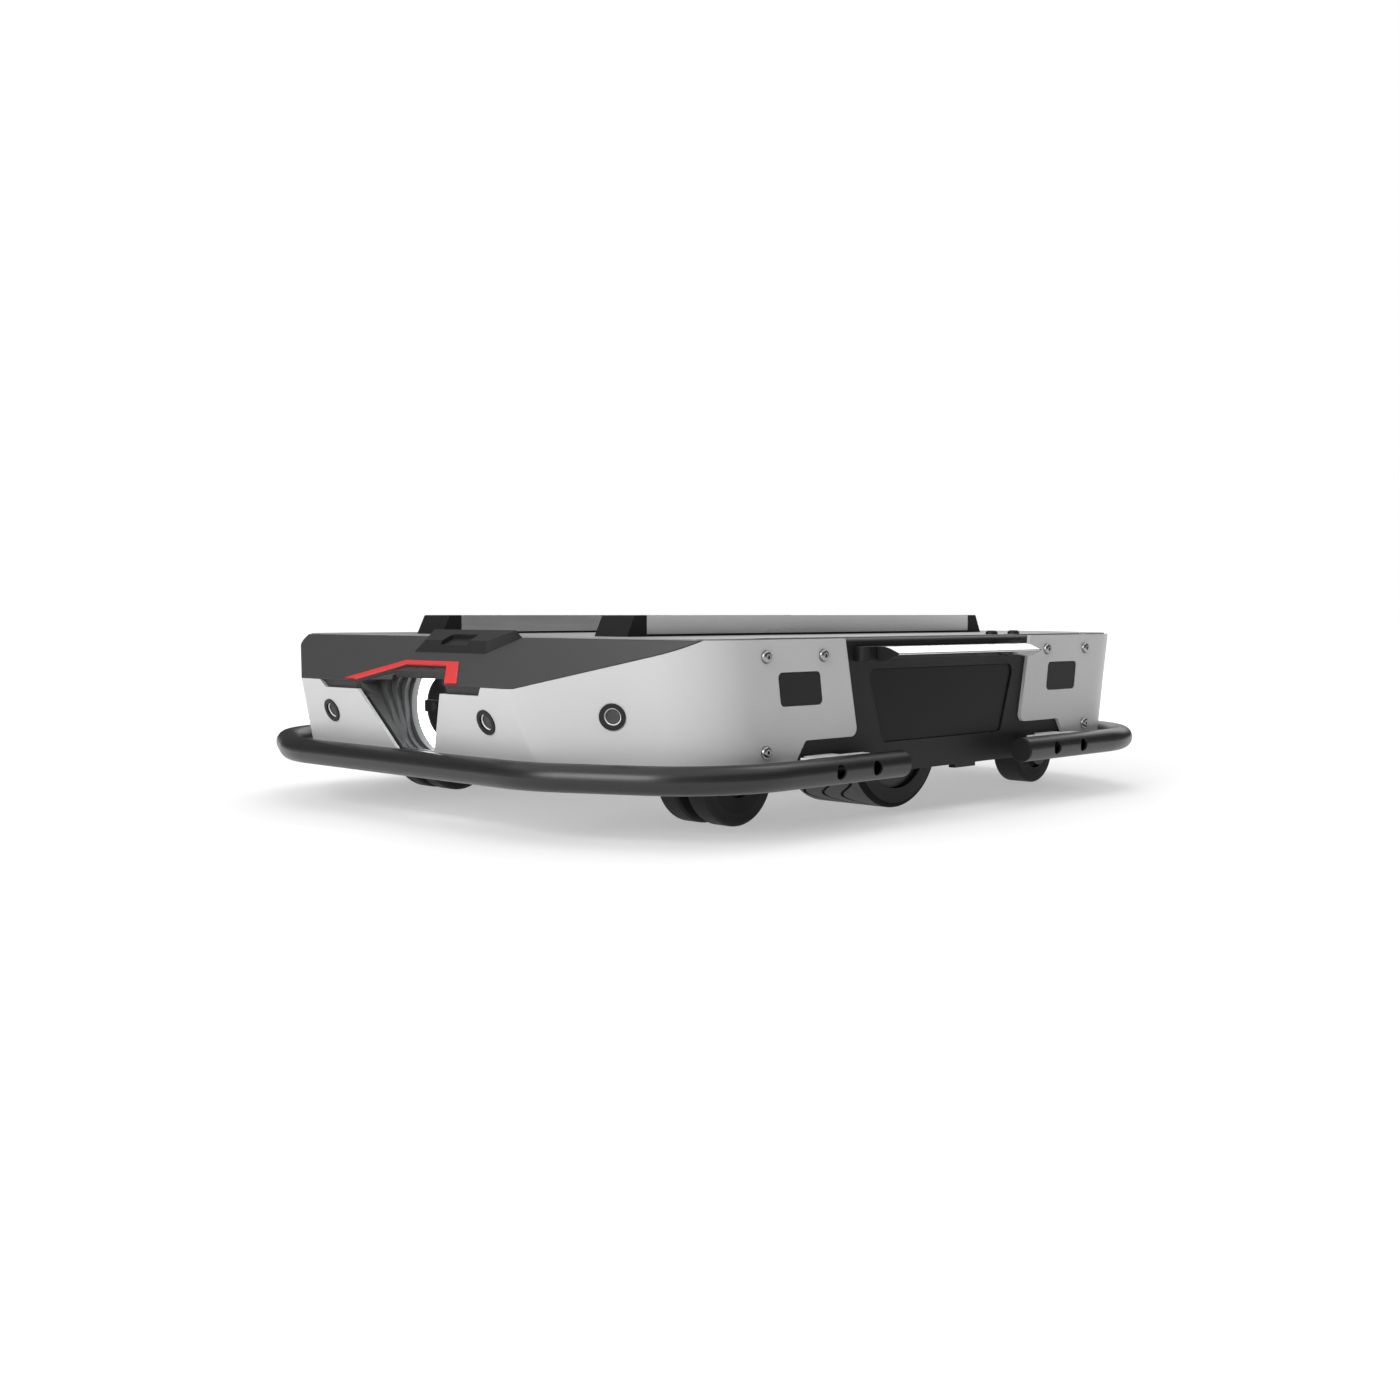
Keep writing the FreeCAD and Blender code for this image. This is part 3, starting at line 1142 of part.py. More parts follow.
def single_fork():
    """Rear left fork: two legs with one wheel between them, and the axle."""
    inner = SINGLE_W / 2 + PLAY
    wide = inner + FORK_ARM_T
    axle_x, axle_z = -CASTER_X - SINGLE_TRAIL, SINGLE_D / 2
    pieces, top = caster_head(-CASTER_X, SINGLE_TRAIL, wide, 0)
    for side in (-1, 1):
        near, far = sorted((CASTER_Y + side * inner, CASTER_Y + side * wide))
        pieces += fork_leg(-CASTER_X, SINGLE_TRAIL, axle_z, top, (near, far))
    pieces.append(rod_y(CASTER_AXLE_D, axle_x, axle_z, (CASTER_Y - wide, CASTER_Y + wide)))
    return joined(pieces)


def caster_wheel(x, y, diameter, width):
    """A caster wheel with a round recess on each side of its hub."""
    axle_z = diameter / 2
    wheel = rod_y(diameter, x, axle_z, (y - width / 2, y + width / 2))
    wheel = soften(wheel, CASTER_EDGE_R, lambda b: b.YLength < CLEAR)
    tools = [rod_y(CASTER_AXLE_D + 2 * RUNNING, x, axle_z, (0, WIDTH))]
    for side in (-1, 1):
        face = y + side * width / 2
        tools.append(rod_y(HUB_RECESS_D, x, axle_z, (face - HUB_RECESS, face + HUB_RECESS)))
    return cut_all(wheel, tools)


def pairs(name, shape):
    """A left piece and its mirror image on the right, by name."""
    return {"left_" + name: shape, "right_" + name: mirror_y(shape)}


def build():
    """Every piece by its node name."""
    front_shell, rear_shell = shells()
    light_ring, lamp_disc, lamp_lenses = lamp_parts()
    bumper = front_bumper()
    parts = {
        "base_tray": base_tray(), "chassis_frame": chassis_frame(), "battery": battery(),
        "control_box": control_box(), "deck_plate": deck_plate(), "front_shell": front_shell,
        "rear_shell": rear_shell, "shell_screws": shell_screws(), "hood": hood(), "red_trim": red_trim(),
        "visor": visor(), "lamp_funnel": lamp_funnel(), "light_ring": light_ring, "lamp_disc": lamp_disc,
        "lamp_lenses": lamp_lenses, "hood_grip": hood_grip(), "side_inserts": side_inserts(),
        "handle_bars": handle_bars(), "handle_posts": handle_posts(), "front_bumper": bumper,
        "rear_bumper": mirror_x(bumper), "bumper_plugs": bumper_plugs(), "bumper_brackets": bumper_brackets(),
        "bumper_bolts": bumper_bolts(), "rail_end_caps": rail_end_caps(), "rail_screws": rail_screws(),
        "connector_caps": connector_caps(), "sensor_bezels": sensor_bezels(), "sensor_faces": sensor_faces(),
        "rear_panel": rear_panel(), "rear_light": rear_light(), "stop_collar": stop_collar(),
        "stop_button": stop_button(), "power_button": power_button(), "charge_cap": charge_cap(),
        "display_window": display_window(), "pivot_pins": pivot_pins(), "caster_plates": caster_plates(),
    }
    front_axle, rear_axle = CASTER_X - TWIN_TRAIL, -CASTER_X - SINGLE_TRAIL
    sided = {
        "skirt": left_skirt(), "rail": left_rail(), "tyre": left_tyre(), "hub": left_hub(),
        "swing_arm": left_swing_arm(), "spring": left_spring(), "front_fork": twin_fork(),
        "rear_fork": single_fork(),
        "front_outer_wheel": caster_wheel(front_axle, CASTER_Y + TWIN_PITCH / 2, TWIN_D, TWIN_W),
        "front_inner_wheel": caster_wheel(front_axle, CASTER_Y - TWIN_PITCH / 2, TWIN_D, TWIN_W),
        "rear_wheel": caster_wheel(rear_axle, CASTER_Y, SINGLE_D, SINGLE_W),
    }
    for name, shape in sided.items():
        parts.update(pairs(name, shape))
    return parts


for node, shape in build().items():
    shape.exportStep("parts/" + node + ".step")
    print(node, len(shape.Solids), "solid(s), valid:", shape.isValid())
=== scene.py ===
# %% [markdown]
# # An automated guided vehicle, dressed for the studio
#
# The vehicle is a low transport base for a warehouse: a flat deck with two rails, a white plastic
# body, tube bumpers all round, two wide drive wheels under the middle and four swivel casters. Its
# shape, its joints and its sizes come from the CAD model. This lesson gives every piece a surface
# that looks like what it is made of, adds the treads and rings that are too fine for the CAD model
# and black cords that paint the shade under the rails, and sets up the light and the camera of a
# product photograph.

import json
import math

import bmesh
import bpy
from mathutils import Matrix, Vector


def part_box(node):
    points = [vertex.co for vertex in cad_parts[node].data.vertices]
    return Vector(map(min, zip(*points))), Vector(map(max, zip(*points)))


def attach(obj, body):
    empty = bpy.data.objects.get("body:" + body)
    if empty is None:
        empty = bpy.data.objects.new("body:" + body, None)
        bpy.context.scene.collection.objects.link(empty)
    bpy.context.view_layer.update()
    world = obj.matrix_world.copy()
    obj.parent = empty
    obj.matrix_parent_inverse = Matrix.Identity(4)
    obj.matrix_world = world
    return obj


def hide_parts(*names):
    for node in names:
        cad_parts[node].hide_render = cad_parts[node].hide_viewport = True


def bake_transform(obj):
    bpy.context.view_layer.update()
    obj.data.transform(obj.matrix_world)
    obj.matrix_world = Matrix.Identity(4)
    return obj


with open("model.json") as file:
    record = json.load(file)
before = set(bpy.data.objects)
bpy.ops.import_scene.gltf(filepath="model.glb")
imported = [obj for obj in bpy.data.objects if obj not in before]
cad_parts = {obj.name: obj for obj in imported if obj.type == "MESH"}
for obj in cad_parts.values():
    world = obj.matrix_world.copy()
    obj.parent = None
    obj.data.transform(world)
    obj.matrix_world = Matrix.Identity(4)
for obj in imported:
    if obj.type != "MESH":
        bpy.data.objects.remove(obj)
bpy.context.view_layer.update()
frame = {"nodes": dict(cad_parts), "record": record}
node = frame["nodes"]

# %% [markdown]
# ## A short way to wire materials
#
# Every surface below is procedural: it is computed from the position on the piece, so it needs no
# image and no unwrapping. Object coordinates are metres in the vehicle's own frame, because every
# CAD piece keeps its place in its vertices. The small class keeps the wiring readable: one call
# adds a node, one call joins two sockets.

# %% The wiring helper
EDGE_SAMPLES = 4
SHARP_LEAN = 0.75
FLAT_LEAN = 0.98


class Graph:
    """A material's node tree with short ways to add and join nodes."""

    def __init__(self, name):
        self.material = bpy.data.materials.new(name)
        self.material.use_nodes = True
        self.tree = self.material.node_tree
        self.shader = self.tree.nodes["Principled BSDF"]
        self.place = self.add("ShaderNodeTexCoord").outputs["Object"]

    def add(self, kind, inputs=None, **settings):
        made = self.tree.nodes.new(kind)
        for key, value in settings.items():
            setattr(made, key, value)
        for key, value in (inputs or {}).items():
            self.feed(made.inputs[key], value)
        return made

    def feed(self, socket, value):
        if isinstance(value, bpy.types.NodeSocket):
            self.tree.links.new(value, socket)
        else:
            socket.default_value = value

    def set(self, **values):
        for key, value in values.items():
            self.feed(self.shader.inputs[key.replace("_", " ")], value)
        return self

    def math(self, operation, first, second=0.0):
        return self.add("ShaderNodeMath", {0: first, 1: second}, operation=operation).outputs[0]

    def noise(self, scale, detail=3.0, stretch=(1.0, 1.0, 1.0)):
        spread = self.add("ShaderNodeMapping", {"Vector": self.place, "Scale": stretch}).outputs[0]
        cloud = self.add("ShaderNodeTexNoise", {"Vector": spread, "Scale": scale, "Detail": detail})
        return cloud.outputs["Fac"]

    def between(self, value, low, high, start=0.0, end=1.0):
        return self.add("ShaderNodeMapRange", {"Value": value, "From Min": start, "From Max": end,
                                               "To Min": low, "To Max": high}).outputs[0]

    def mix(self, share, first, second):
        mixer = self.add("ShaderNodeMix", data_type="RGBA")
        self.feed(mixer.inputs[0], share)
        self.feed(mixer.inputs[6], first)
        self.feed(mixer.inputs[7], second)
        return mixer.outputs[2]

    def relief(self, height, depth, edge=0.0006):
        round_edge = self.add("ShaderNodeBevel", {"Radius": edge}, samples=EDGE_SAMPLES).outputs[0]
        bump = self.add("ShaderNodeBump", {"Height": height, "Distance": depth, "Normal": round_edge})
        self.set(Normal=bump.outputs[0])
        return self

    def edges(self, radius=0.001):
        """1 on sharp edges and 0 on flats, from how far a rounded normal leans away from the true one."""
        round_edge = self.add("ShaderNodeBevel", {"Radius": radius}, samples=EDGE_SAMPLES).outputs[0]
        true = self.add("ShaderNodeNewGeometry").outputs["Normal"]
        lean = self.add("ShaderNodeVectorMath", {0: round_edge, 1: true}, operation="DOT_PRODUCT")
        return self.between(lean.outputs["Value"], 1.0, 0.0, SHARP_LEAN, FLAT_LEAN)


def rgb(r, g, b):
    return (r, g, b, 1.0)


def grey(level):
    return (level, level, level)


def put_on(name, material):
    """Put a material on one CAD node."""
    node[name].data.materials.clear()
    node[name].data.materials.append(material)


def paint(slot, material):
    """Put a material on every CAD node of one of the record's slots."""
    members = [s["node"] for s in frame["record"]["subparts"] if s["material_slot"] == slot]
    for name in members:
        put_on(name, material)
    print(slot, "on", len(members), "nodes")


# %% [markdown]
# ## Moulded plastics
#
# The white shells, the dark hood and the black skirts are injection mouldings. A moulding copies
# the skin of its tool: the shells come from a polished tool that leaves a faint orange peel, the
# hood and skirts from one etched with a fine grain, which also dulls the shine. Corners are handled
# most, so they polish a little lighter. One function makes all of them from a colour, a roughness,
# the size of the grain and the gloss.

# %% Plastics
CLOUD_SIZE = 9.0
CLOUD_DETAIL = 4.0
CLOUD_RANGE = (0.35, 0.65)
CLOUD_DARK = 0.96
WORN_LIFT = 0.004
SHINIER = 0.05
DULLER = 0.06
GRAIN_DETAIL = 2.0


def plastic(name, colour, roughness, grain, depth, wear=1.15, gloss=0.5):
    g = Graph(name)
    worn = rgb(*(min(1.0, c * wear + WORN_LIFT) for c in colour))
    cloud = g.noise(CLOUD_SIZE, CLOUD_DETAIL)
    clouded = g.between(cloud, 0.0, 1.0, *CLOUD_RANGE)
    shade = g.mix(clouded, rgb(*(c * CLOUD_DARK for c in colour)), rgb(*colour))
    g.set(Base_Color=g.mix(g.edges(), shade, worn),
          Roughness=g.between(cloud, roughness - SHINIER, roughness + DULLER),
          Specular_IOR_Level=gloss)
    return g.relief(g.noise(grain, GRAIN_DETAIL), depth).material


paint("white_shell", plastic("white_moulding", grey(0.54), roughness=0.34, grain=420.0, depth=0.00003))
paint("grey_cover", plastic("grey_moulding", grey(0.044),
                            roughness=0.52, grain=1600.0, depth=0.00006, gloss=0.2))
paint("black_plastic", plastic("black_moulding", grey(0.012),
                               roughness=0.46, grain=1500.0, depth=0.00005, wear=1.6, gloss=0.25))
paint("black_gloss", plastic("black_gloss_moulding", grey(0.010),
                             roughness=0.16, grain=300.0, depth=0.00001))
paint("red_plastic", plastic("red_moulding", (0.72, 0.030, 0.030),
                             roughness=0.38, grain=700.0, depth=0.00002))
paint("battery_case", plastic("battery_moulding", (0.02, 0.045, 0.11),
                              roughness=0.5, grain=900.0, depth=0.00004))
paint("controller_case", plastic("controller_moulding", grey(0.07),
                                 roughness=0.5, grain=900.0, depth=0.00004))
paint("hub_black", plastic("hub_moulding", grey(0.030),
                           roughness=0.42, grain=900.0, depth=0.00004, wear=1.6))
put_on("side_inserts", plastic("insert_moulding", grey(0.010),
                               roughness=0.32, grain=300.0, depth=0.00001, gloss=0.12))
put_on("hood_grip", plastic("grip_moulding", grey(0.020),
                            roughness=0.50, grain=1500.0, depth=0.00005, wear=1.3, gloss=0.2))
put_on("lamp_funnel", plastic("funnel_moulding", grey(0.050),
                              roughness=0.50, grain=1500.0, depth=0.00005))

# %% [markdown]
# ## Painted and bare metal
#
# The bumper tubes are bent steel with a satin powder coat, which melts into a slightly rippled
# skin. The chassis and the deck have the same coat in mid grey. The rails are drawn aluminium: the
# die leaves fine lines along their length, so the noise is stretched along X. The handle bars are
# plated bright, with hairline scratches, and the screws have a duller plating.

# %% Metals
COAT_WEAR = 1.5
COAT_LIFT = 0.01
COAT_CLOUDS = 14.0
COAT_SPREAD = 0.06
RIPPLE_SIZE = 800.0
RIPPLE_DEPTH = 0.00006
STREAK_SIZE = 260.0
STREAK_DETAIL = 4.0
STREAK_RANGE = (0.3, 0.7)
STREAK_DARK = 0.86
SMOOTHEST = 0.7
ROUGHEST = 1.35
METAL_EDGE = 0.0004
NO_LINES = (1.0, 1.0, 1.0)


def powder_coat(name, colour, roughness, gloss=0.5):
    g = Graph(name)
    worn = rgb(*(min(1.0, c * COAT_WEAR + COAT_LIFT) for c in colour))
    g.set(Base_Color=g.mix(g.edges(), rgb(*colour), worn),
          Roughness=g.between(g.noise(COAT_CLOUDS), roughness - COAT_SPREAD, roughness + COAT_SPREAD),
          Specular_IOR_Level=gloss)
    return g.relief(g.noise(RIPPLE_SIZE, GRAIN_DETAIL), RIPPLE_DEPTH).material


def bare_metal(name, colour, roughness, lines, depth):
    g = Graph(name)
    streak = g.noise(STREAK_SIZE, STREAK_DETAIL, lines)
    streaked = g.between(streak, 0.0, 1.0, *STREAK_RANGE)
    g.set(Base_Color=g.mix(streaked, rgb(*(c * STREAK_DARK for c in colour)), rgb(*colour)),
          Metallic=1.0, Roughness=g.between(streak, roughness * SMOOTHEST, roughness * ROUGHEST))
    return g.relief(streak, depth, METAL_EDGE).material


paint("bumper_paint", powder_coat("black_powder_coat", grey(0.018), roughness=0.32, gloss=0.45))
paint("chassis_paint", powder_coat("grey_powder_coat", grey(0.28), roughness=0.42, gloss=0.2))
paint("light_paint", powder_coat("pale_powder_coat", grey(0.80), roughness=0.40))
paint("aluminium", bare_metal("drawn_aluminium", grey(0.86),
                              roughness=0.30, lines=(0.04, 1.0, 1.0), depth=0.00002))
paint("bright_metal", bare_metal("bright_plate", grey(0.68),
                                 roughness=0.12, lines=(0.2, 1.0, 1.0), depth=0.000006))
paint("steel", bare_metal("zinc_plate", grey(0.48), roughness=0.34, lines=NO_LINES, depth=0.00002))
put_on("shell_screws", bare_metal("dull_plate", grey(0.36),
                                  roughness=0.25, lines=NO_LINES, depth=0.00001))
fork_coat = powder_coat("fork_coat", grey(0.022), roughness=0.45)
for corner in ("left_front", "right_front", "left_rear", "right_rear"):
    put_on(corner + "_fork", fork_coat)

# %% [markdown]
# ## Light, lenses and sensors
#
# Behind the lamp opening a ring of white light-emitting diodes shines through a milky diffuser, so
# the ring glows evenly with only a slight cloudiness. The rear strip is a red lens; its faint glow is
# painted light that stands in for light passing through the red plastic. The distance sensors have a
# fine perforated face, which a small cell pattern imitates.

# %% Lights and lenses
MILK_CLOUDS = 120.0
MILK_GRAIN = 500.0
MILK_DEPTH = 0.00002
PORE_SCALE = 900.0
PORE_RANGE = (0.15, 0.4)
PORE_DARK = 0.35
PORE_DEPTH = 0.0001
PORE_EDGE = 0.0003
FACE_CLOUDS = 40.0
FILM_CLOUDS = 60.0
FILM_DEPTH = 0.000005
LENS_EDGE = 0.0004


def glow(name, colour, strength, cloudiness):
    g = Graph(name)
    cloud = g.between(g.noise(MILK_CLOUDS), strength * (1.0 - cloudiness), strength)
    g.set(Base_Color=rgb(*colour), Roughness=0.3, Emission_Color=rgb(*colour), Emission_Strength=cloud)
    return g.relief(g.noise(MILK_GRAIN), MILK_DEPTH).material


def perforated(name, colour):
    g = Graph(name)
    cells = g.add("ShaderNodeTexVoronoi", {"Vector": g.place, "Scale": PORE_SCALE}).outputs["Distance"]
    pores = g.between(cells, 0.0, 1.0, *PORE_RANGE)
    g.set(Base_Color=g.mix(pores, rgb(*(c * PORE_DARK for c in colour)), rgb(*colour)),
          Roughness=g.between(g.noise(FACE_CLOUDS), 0.45, 0.6))
    return g.relief(pores, PORE_DEPTH, PORE_EDGE).material


def lens(name):
    g = Graph(name)
    film = g.noise(FILM_CLOUDS)
    g.set(Base_Color=rgb(0.01, 0.012, 0.02), Roughness=g.between(film, 0.02, 0.08), Coat_Weight=1.0)
    return g.relief(film, FILM_DEPTH, LENS_EDGE).material


paint("white_light", glow("ring_diffuser", (0.95, 0.98, 1.0), strength=5.0, cloudiness=0.15))
# A painted glow: the faint emission stands in for light coming through the red lens.
paint("red_lens", glow("red_rear_lens", (0.55, 0.01, 0.01), strength=0.25, cloudiness=0.4))
paint("sensor_grey", perforated("sensor_mesh", grey(0.05)))
paint("lens_glass", lens("coated_lens"))

# %% [markdown]
# ## White rings on the sensors
#
# Each distance sensor has a thin white washer between its black rim and its dark face. It is under
# a millimetre thick, so it is trim for this scene and not a CAD piece. Its place is read from the
# CAD model: of all the flat facets of the sensors, those that look out of the vehicle are the
# fronts, and their middle and direction seat a torus, which has the washer's round section.

# %% Sensor rings
RING_RADIUS = 0.0058
RING_WIRE = 0.00050
RING_STEPS = 48
WIRE_STEPS = 10
LOOKS_OUT = 0.2
CHAMFER_FROM = 0.15
white_ring = plastic("ring_moulding", grey(0.90), roughness=0.35, grain=600.0, depth=0.00002)


def sensor_fronts():
    """Middle and outward direction of each sensor's front, weighed by the area of its facets."""
    fronts = {}
    for facet in node["sensor_faces"].data.polygons:
        if facet.normal.x * facet.center.x > LOOKS_OUT:
            x, y = facet.center.xy
            key = (x > 0, y > 0, abs(y) > CHAMFER_FROM)
            middle, outward, area = fronts.get(key, (Vector(), Vector(), 0.0))
            fronts[key] = (middle + facet.center * facet.area, outward + facet.normal * facet.area,
                           area + facet.area)
    return [(middle / area, outward.normalized()) for middle, outward, area in fronts.values()]


def sensor_ring(middle, outward, name):
    bpy.ops.mesh.primitive_torus_add(major_radius=RING_RADIUS, minor_radius=RING_WIRE,
                                     major_segments=RING_STEPS, minor_segments=WIRE_STEPS)
    ring = bpy.context.object
    ring.name = name
    ring.location = middle + outward * RING_WIRE
    ring.rotation_euler = outward.to_track_quat("Z", "Y").to_euler()
    ring.data.materials.append(white_ring)
    bpy.ops.object.shade_smooth()
    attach(ring, "chassis")


for number, (middle, outward) in enumerate(sensor_fronts(), 1):
    sensor_ring(middle, outward, "sensor_ring_%d" % number)
print(number, "sensor rings")

# %% [markdown]
# ## Painted shade under the rails
#
# A thin black cord lies in the groove along each foot of the rails. It is painted shade: it darkens
# the narrow gap between rail and deck into a black line. A bevelled curve draws it: four points,
# square ends, thinner at both ends.

# %% Painted shade cords under the rails
CORD_RADIUS = 0.0008
CORD_INSET = 0.0009
CORD_TAPER = 0.002
CORD_END_SHARE = 0.5
# Black cords that paint the shade of the narrow gap between each rail and the deck.
shade_cord_black = plastic("shade_cord_black", grey(0.010), roughness=0.70, grain=900.0, depth=0.00003, gloss=0.2)


def shade_cord(name, y, z, ends):
    start, end = ends
    curve = bpy.data.curves.new(name, "CURVE")
    curve.dimensions = "3D"
    curve.bevel_depth = CORD_RADIUS
    curve.bevel_resolution = 3
    curve.use_fill_caps = True
    line = curve.splines.new("POLY")
    line.points.add(3)
    stations = ((start, CORD_END_SHARE), (start + CORD_TAPER, 1.0), (end - CORD_TAPER, 1.0), (end, CORD_END_SHARE))
    for point, (x, thickness) in zip(line.points, stations):
        point.co = (x, y, z, 1.0)
        point.radius = thickness
    cord = bpy.data.objects.new(name, curve)
    curve.materials.append(shade_cord_black)
    bpy.context.scene.collection.objects.link(cord)
    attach(cord, "chassis")


# Two painted shade cords per rail, one at each foot.
for side in ("left", "right"):
    low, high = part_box(side + "_rail")
    edges = {"inner": low[1] + CORD_INSET, "outer": high[1] - CORD_INSET}
    for edge, y in edges.items():
        shade_cord("%s_%s_seal" % (side, edge), y, low[2] + CORD_INSET, (low[0], high[0]))
print("four rail seals")

# %% [markdown]
# ## Drive tyres with wavy grooves
#
# A drive tyre is cast in polyurethane on its hub: a grey tread with wavy grooves and a dark wall.
# The floors of the grooves and the outer rounded edge are painted near black: painted shade for the
# grooves and for the gap between tread and rim. The CAD tyre is a plain ring, so a finer mesh stands
# for it here. It is turned like a pot: a list of rings across the tyre, each with a radius, is carried
# round the axle. The groove rings sway as a sine wave on the way round, so the mesh follows each
# groove exactly and few faces are needed.

# %% Drive tyres
# The second paint is painted shade: near black in the grooves and on the outer rounded edge.
TREAD, SHADE_PAINT, WALL = 0, 1, 2
STEPS = 240
WAVES = 8
WAVE_HEIGHT = 0.010
GROOVE_PLACES = (0.017, 0.037, 0.057)
GROOVE_WIDTH = 0.003
GROOVE_DEPTH = 0.0012
GROOVE_LEAN = 0.0002
EDGE_RADIUS = 0.004
EDGE_STEPS = 4
TYRE_WALL = 0.016
CREASE = math.radians(30.0)
MOTTLE = 70.0
MOTTLE_DETAIL = 5.0
SCUFFS = 90.0
SCUFF_SPREAD = 0.1
RUBBER_GLOSS = 0.25
RUBBER_GRAIN = 900.0
RUBBER_DEPTH = 0.00004


def rubber(name, dark, light, roughness):
    g = Graph(name)
    g.set(Base_Color=g.mix(g.noise(MOTTLE, MOTTLE_DETAIL), rgb(*grey(dark)), rgb(*grey(light))),
          Roughness=g.between(g.noise(SCUFFS), roughness - SCUFF_SPREAD, roughness + SCUFF_SPREAD),
          Specular_IOR_Level=RUBBER_GLOSS)
    return g.relief(g.noise(RUBBER_GRAIN), RUBBER_DEPTH).material


def groove(start, end, radius):
    """Rings of one groove: place across, radius, share of the wave, and the paint up to the next ring."""
    floor = radius - GROOVE_DEPTH
    # The floor and walls of the groove take the painted shade.
    return [(start, radius, 1.0, SHADE_PAINT), (start + GROOVE_LEAN, floor, 1.0, SHADE_PAINT),
            (end - GROOVE_LEAN, floor, 1.0, SHADE_PAINT), (end, radius, 1.0, TREAD)]


def rounded_edge(radius):
    """Place across and radius of the inner rounded edge, from the wall to the tread."""
    turns = [i * math.pi / 2 / EDGE_STEPS for i in range(EDGE_STEPS + 1)]
    return [(EDGE_RADIUS * (1 - math.sin(t)), radius - EDGE_RADIUS * (1 - math.cos(t)))
            for t in reversed(turns)]


def tyre_rings(width, radius):
    bore = radius - TYRE_WALL
    edge = rounded_edge(radius)
    rings = [(0.0, bore, 0.0, WALL)] + [(across, r, 0.0, WALL) for across, r in edge[:-1]]
    rings.append((EDGE_RADIUS, radius, 0.0, TREAD))
    for place in GROOVE_PLACES:
        rings += groove(place - GROOVE_WIDTH / 2, place + GROOVE_WIDTH / 2, radius)
    # The outer rounded edge also takes the painted shade, for the gap between tread and rim.
    rings += [(width - across, r, 0.0, SHADE_PAINT) for across, r in reversed(edge[1:])]
    return rings + [(width, edge[0][1], 0.0, WALL), (width, bore, 0.0, WALL)]


def grooved_tyre(side, outward, materials):
    low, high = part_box(side + "_tyre")
    middle = (low + high) / 2
    inside = middle[1] - outward * (high[1] - low[1]) / 2
    rings = tyre_rings(high[1] - low[1], (high[2] - low[2]) / 2)
    points, faces, paints = [], [], []
    for i in range(STEPS):
        angle = 2 * math.pi * i / STEPS
        wave = WAVE_HEIGHT * math.sin(WAVES * angle)
        for j, (across, radius, sway, colour) in enumerate(rings):
            points.append((middle[0] + radius * math.cos(angle), inside + outward * (across + sway * wave),
                           middle[2] + radius * math.sin(angle)))
            here, ahead = i * len(rings), (i + 1) % STEPS * len(rings)
            after = (j + 1) % len(rings)
            faces.append((here + j, here + after, ahead + after, ahead + j))
            paints.append(colour)
    mesh = bpy.data.meshes.new(side + "_grooved_tyre")
    mesh.from_pydata(points, [], faces)
    mesh.polygons.foreach_set("material_index", paints)
    for material in materials:
        mesh.materials.append(material)
    work = bmesh.new()
    work.from_mesh(mesh)
    bmesh.ops.recalc_face_normals(work, faces=work.faces)
    work.to_mesh(mesh)
    work.free()
    mesh.shade_smooth()
    mesh.set_sharp_from_angle(angle=CREASE)
    tyre = bpy.data.objects.new(side + "_grooved_tyre", mesh)
    bpy.context.scene.collection.objects.link(tyre)
    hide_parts(side + "_tyre")
    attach(tyre, side + "_drive_wheel")


# The middle material is near black: painted shade for the grooves and the outer edge.
tyre_paints = (rubber("tread_rubber", 0.11, 0.15, 0.72), rubber("painted_groove_shade", 0.006, 0.012, 0.8),
               rubber("wall_rubber", 0.034, 0.048, 0.65))
grooved_tyre("left", 1, tyre_paints)
grooved_tyre("right", -1, tyre_paints)
print("two grooved tyres")

# %% [markdown]
# ## Suspension springs
#
# A coil spring stands between each swing arm and a shelf of the frame, wound from round wire. A copy
# of the CAD coil stands in for it, with its placement baked into its points.

# %% Springs
def spring(side):
    coil = bpy.data.objects.new(side + "_coil", node[side + "_spring"].data.copy())
    bpy.context.scene.collection.objects.link(coil)
    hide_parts(side + "_spring")
    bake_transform(coil)


spring("left")
spring("right")
print("two springs")

# %% [markdown]
# ## Caster wheels
#
# The caster wheels have a dark grey tread moulded on a black core, so their colour follows the
# distance from the axle. The axle's place and the wheel's radius come from the wheel's own box.

# %% Caster wheels
CORE_SHARE = 0.74
BLEND = 0.0005
CASTER_MOTTLE = 80.0
CASTER_SCUFFS = 50.0


def caster_wheel(name, wheel):
    low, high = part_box(wheel)
    core = CORE_SHARE * (high[2] - low[2]) / 2
    g = Graph(name)
    place = g.add("ShaderNodeSeparateXYZ", {0: g.place}).outputs
    along = g.math("SUBTRACT", place["X"], (low[0] + high[0]) / 2)
    up = g.math("SUBTRACT", place["Z"], (low[2] + high[2]) / 2)
    distance = g.math("SQRT", g.math("ADD", g.math("POWER", along, 2.0), g.math("POWER", up, 2.0)))
    tread = g.between(distance, 0.0, 1.0, core - BLEND, core + BLEND)
    worn = g.mix(g.noise(CASTER_MOTTLE, MOTTLE_DETAIL), rgb(*grey(0.014)), rgb(*grey(0.026)))
    g.set(Base_Color=g.mix(tread, rgb(*grey(0.010)), worn), Specular_IOR_Level=RUBBER_GLOSS,
          Roughness=g.between(g.noise(CASTER_SCUFFS), 0.45, 0.7))
    return g.relief(g.noise(RUBBER_GRAIN), RUBBER_DEPTH).material


paint("caster_tread", caster_wheel("front_caster_rubber", "left_front_outer_wheel"))
rear_rubber = caster_wheel("rear_caster_rubber", "left_rear_wheel")
for side in ("left", "right"):
    put_on(side + "_rear_wheel", rear_rubber)
print("rear casters have their own rubber")

# %% [markdown]
# ## The studio
#
# The photograph was taken against white. A wide soft light hangs over the vehicle, a smaller one
# stands ahead of it and leaves the long side in half shade, and one behind draws bright lines along
# the tops of the tubes and bars. The floor is a pale sheet that keeps a soft shadow and glows more
# with distance, so that it joins the white background.

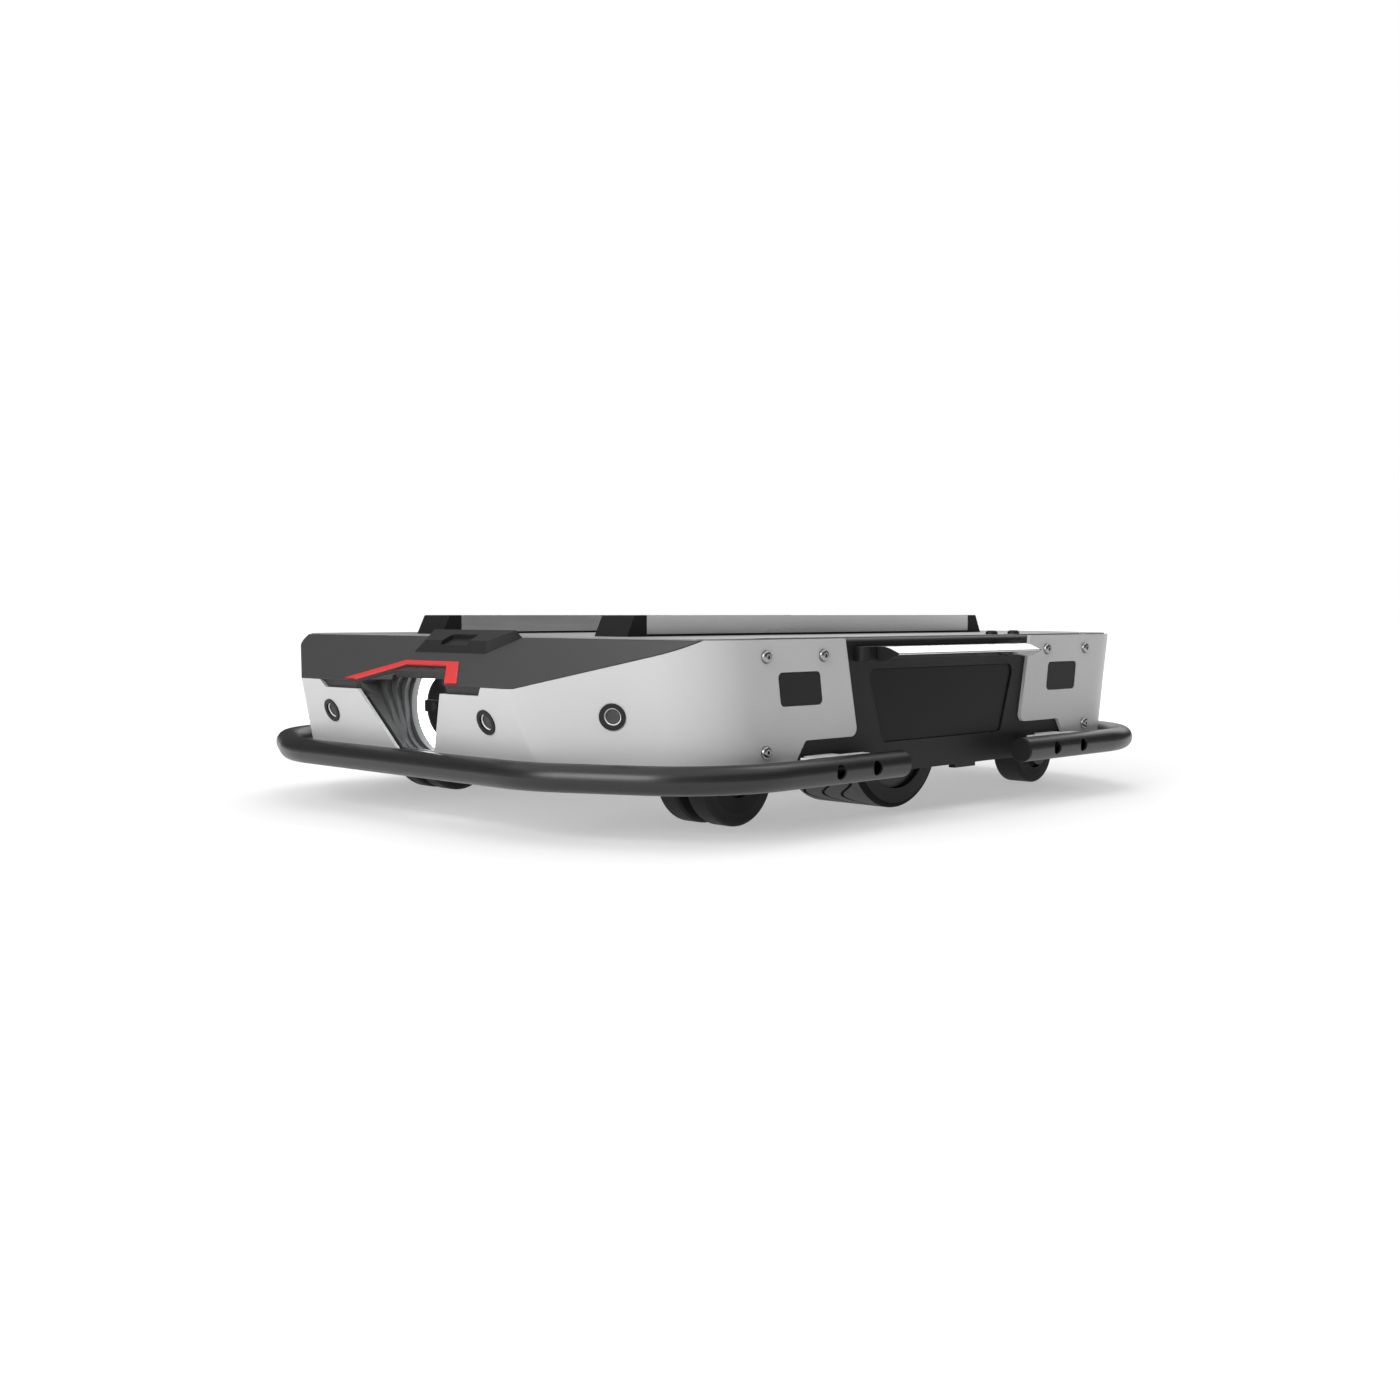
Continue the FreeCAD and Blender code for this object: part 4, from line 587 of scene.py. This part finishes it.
# %% Floor and light
FLOOR_SIZE = 40.0
NEAR_GLOW = 0.42
FAR_GLOW = 1.05
GLOW_RANGE = (0.5, 4.5)
FLOOR_CLOUDS = 3.0
FLOOR_DARK = 0.59
FLOOR_LIGHT = 0.61
SKY_ON_VEHICLE = 0.08
WHITE = rgb(1.0, 1.0, 1.0)


def aim(thing, direction):
    thing.rotation_euler = direction.to_track_quat("-Z", "Y").to_euler()


def area_light(name, place, target, size, power):
    data = bpy.data.lights.new(name, "AREA")
    data.size = size
    data.energy = power
    made = bpy.data.objects.new(name, data)
    made.location = place
    made.visible_camera = False
    aim(made, Vector(target) - Vector(place))
    bpy.context.scene.collection.objects.link(made)


def pale_floor():
    bpy.ops.mesh.primitive_plane_add(size=FLOOR_SIZE)
    floor = bpy.context.object
    floor.name = "floor"
    g = Graph("pale_floor")
    away = g.add("ShaderNodeVectorMath", {0: g.place}, operation="LENGTH").outputs["Value"]
    g.set(Base_Color=g.mix(g.noise(FLOOR_CLOUDS), rgb(*grey(FLOOR_DARK)), rgb(*grey(FLOOR_LIGHT))),
          Roughness=0.8, Specular_IOR_Level=0.0, Emission_Color=WHITE,
          Emission_Strength=g.between(away, NEAR_GLOW, FAR_GLOW, *GLOW_RANGE))
    floor.data.materials.append(g.material)


def white_sky():
    world = bpy.data.worlds.new("studio")
    world.use_nodes = True
    tree = world.node_tree
    sky = tree.nodes["Background"]
    sky.inputs["Color"].default_value = WHITE
    seen = tree.nodes.new("ShaderNodeLightPath").outputs["Is Camera Ray"]
    level = tree.nodes.new("ShaderNodeMapRange")
    level.inputs["To Min"].default_value = SKY_ON_VEHICLE
    level.inputs["To Max"].default_value = 1.0
    tree.links.new(seen, level.inputs["Value"])
    tree.links.new(level.outputs[0], sky.inputs["Strength"])
    bpy.context.scene.world = world


pale_floor()
white_sky()
area_light("top_light", place=(0.0, 0.0, 3.0), target=(0.0, 0.0, 0.0), size=6.0, power=115.0)
area_light("front_light", place=(2.6, 0.45, 1.2), target=(0.2, 0.0, 0.1), size=1.5, power=50.0)
area_light("back_light", place=(-2.1, -0.9, 1.9), target=(0.0, 0.0, 0.1), size=3.0, power=42.0)
bpy.context.scene.view_settings.view_transform = "Standard"
print("floor, sky and three lights")

# %% [markdown]
# ## The camera
#
# The camera stands low at the vehicle's front left corner. It could be set by eye, but here its
# place, its direction and its lens come from matching the screws, windows and rails of the
# photograph to their places on the model, so the two pictures can be compared edge by edge.

# %% Camera
CAMERA_PLACE = (0.99249, 0.97027, 0.15656)
CAMERA_YAW = math.radians(44.805)
CAMERA_PITCH = math.radians(3.1907)
CAMERA_LENS = 39.497
CAMERA_NEAR = 0.01


def camera():
    data = bpy.data.cameras.new("camera")
    data.lens = CAMERA_LENS
    data.clip_start = CAMERA_NEAR
    made = bpy.data.objects.new("camera", data)
    made.location = CAMERA_PLACE
    flat = math.cos(CAMERA_PITCH)
    aim(made, Vector((-math.cos(CAMERA_YAW) * flat, -math.sin(CAMERA_YAW) * flat, -math.sin(CAMERA_PITCH))))
    bpy.context.scene.collection.objects.link(made)
    bpy.context.scene.camera = made


camera()
print("camera ready")

# %% [markdown]
# ## The end
#
# Nothing more is added to the scene.

# %% End
print("done")
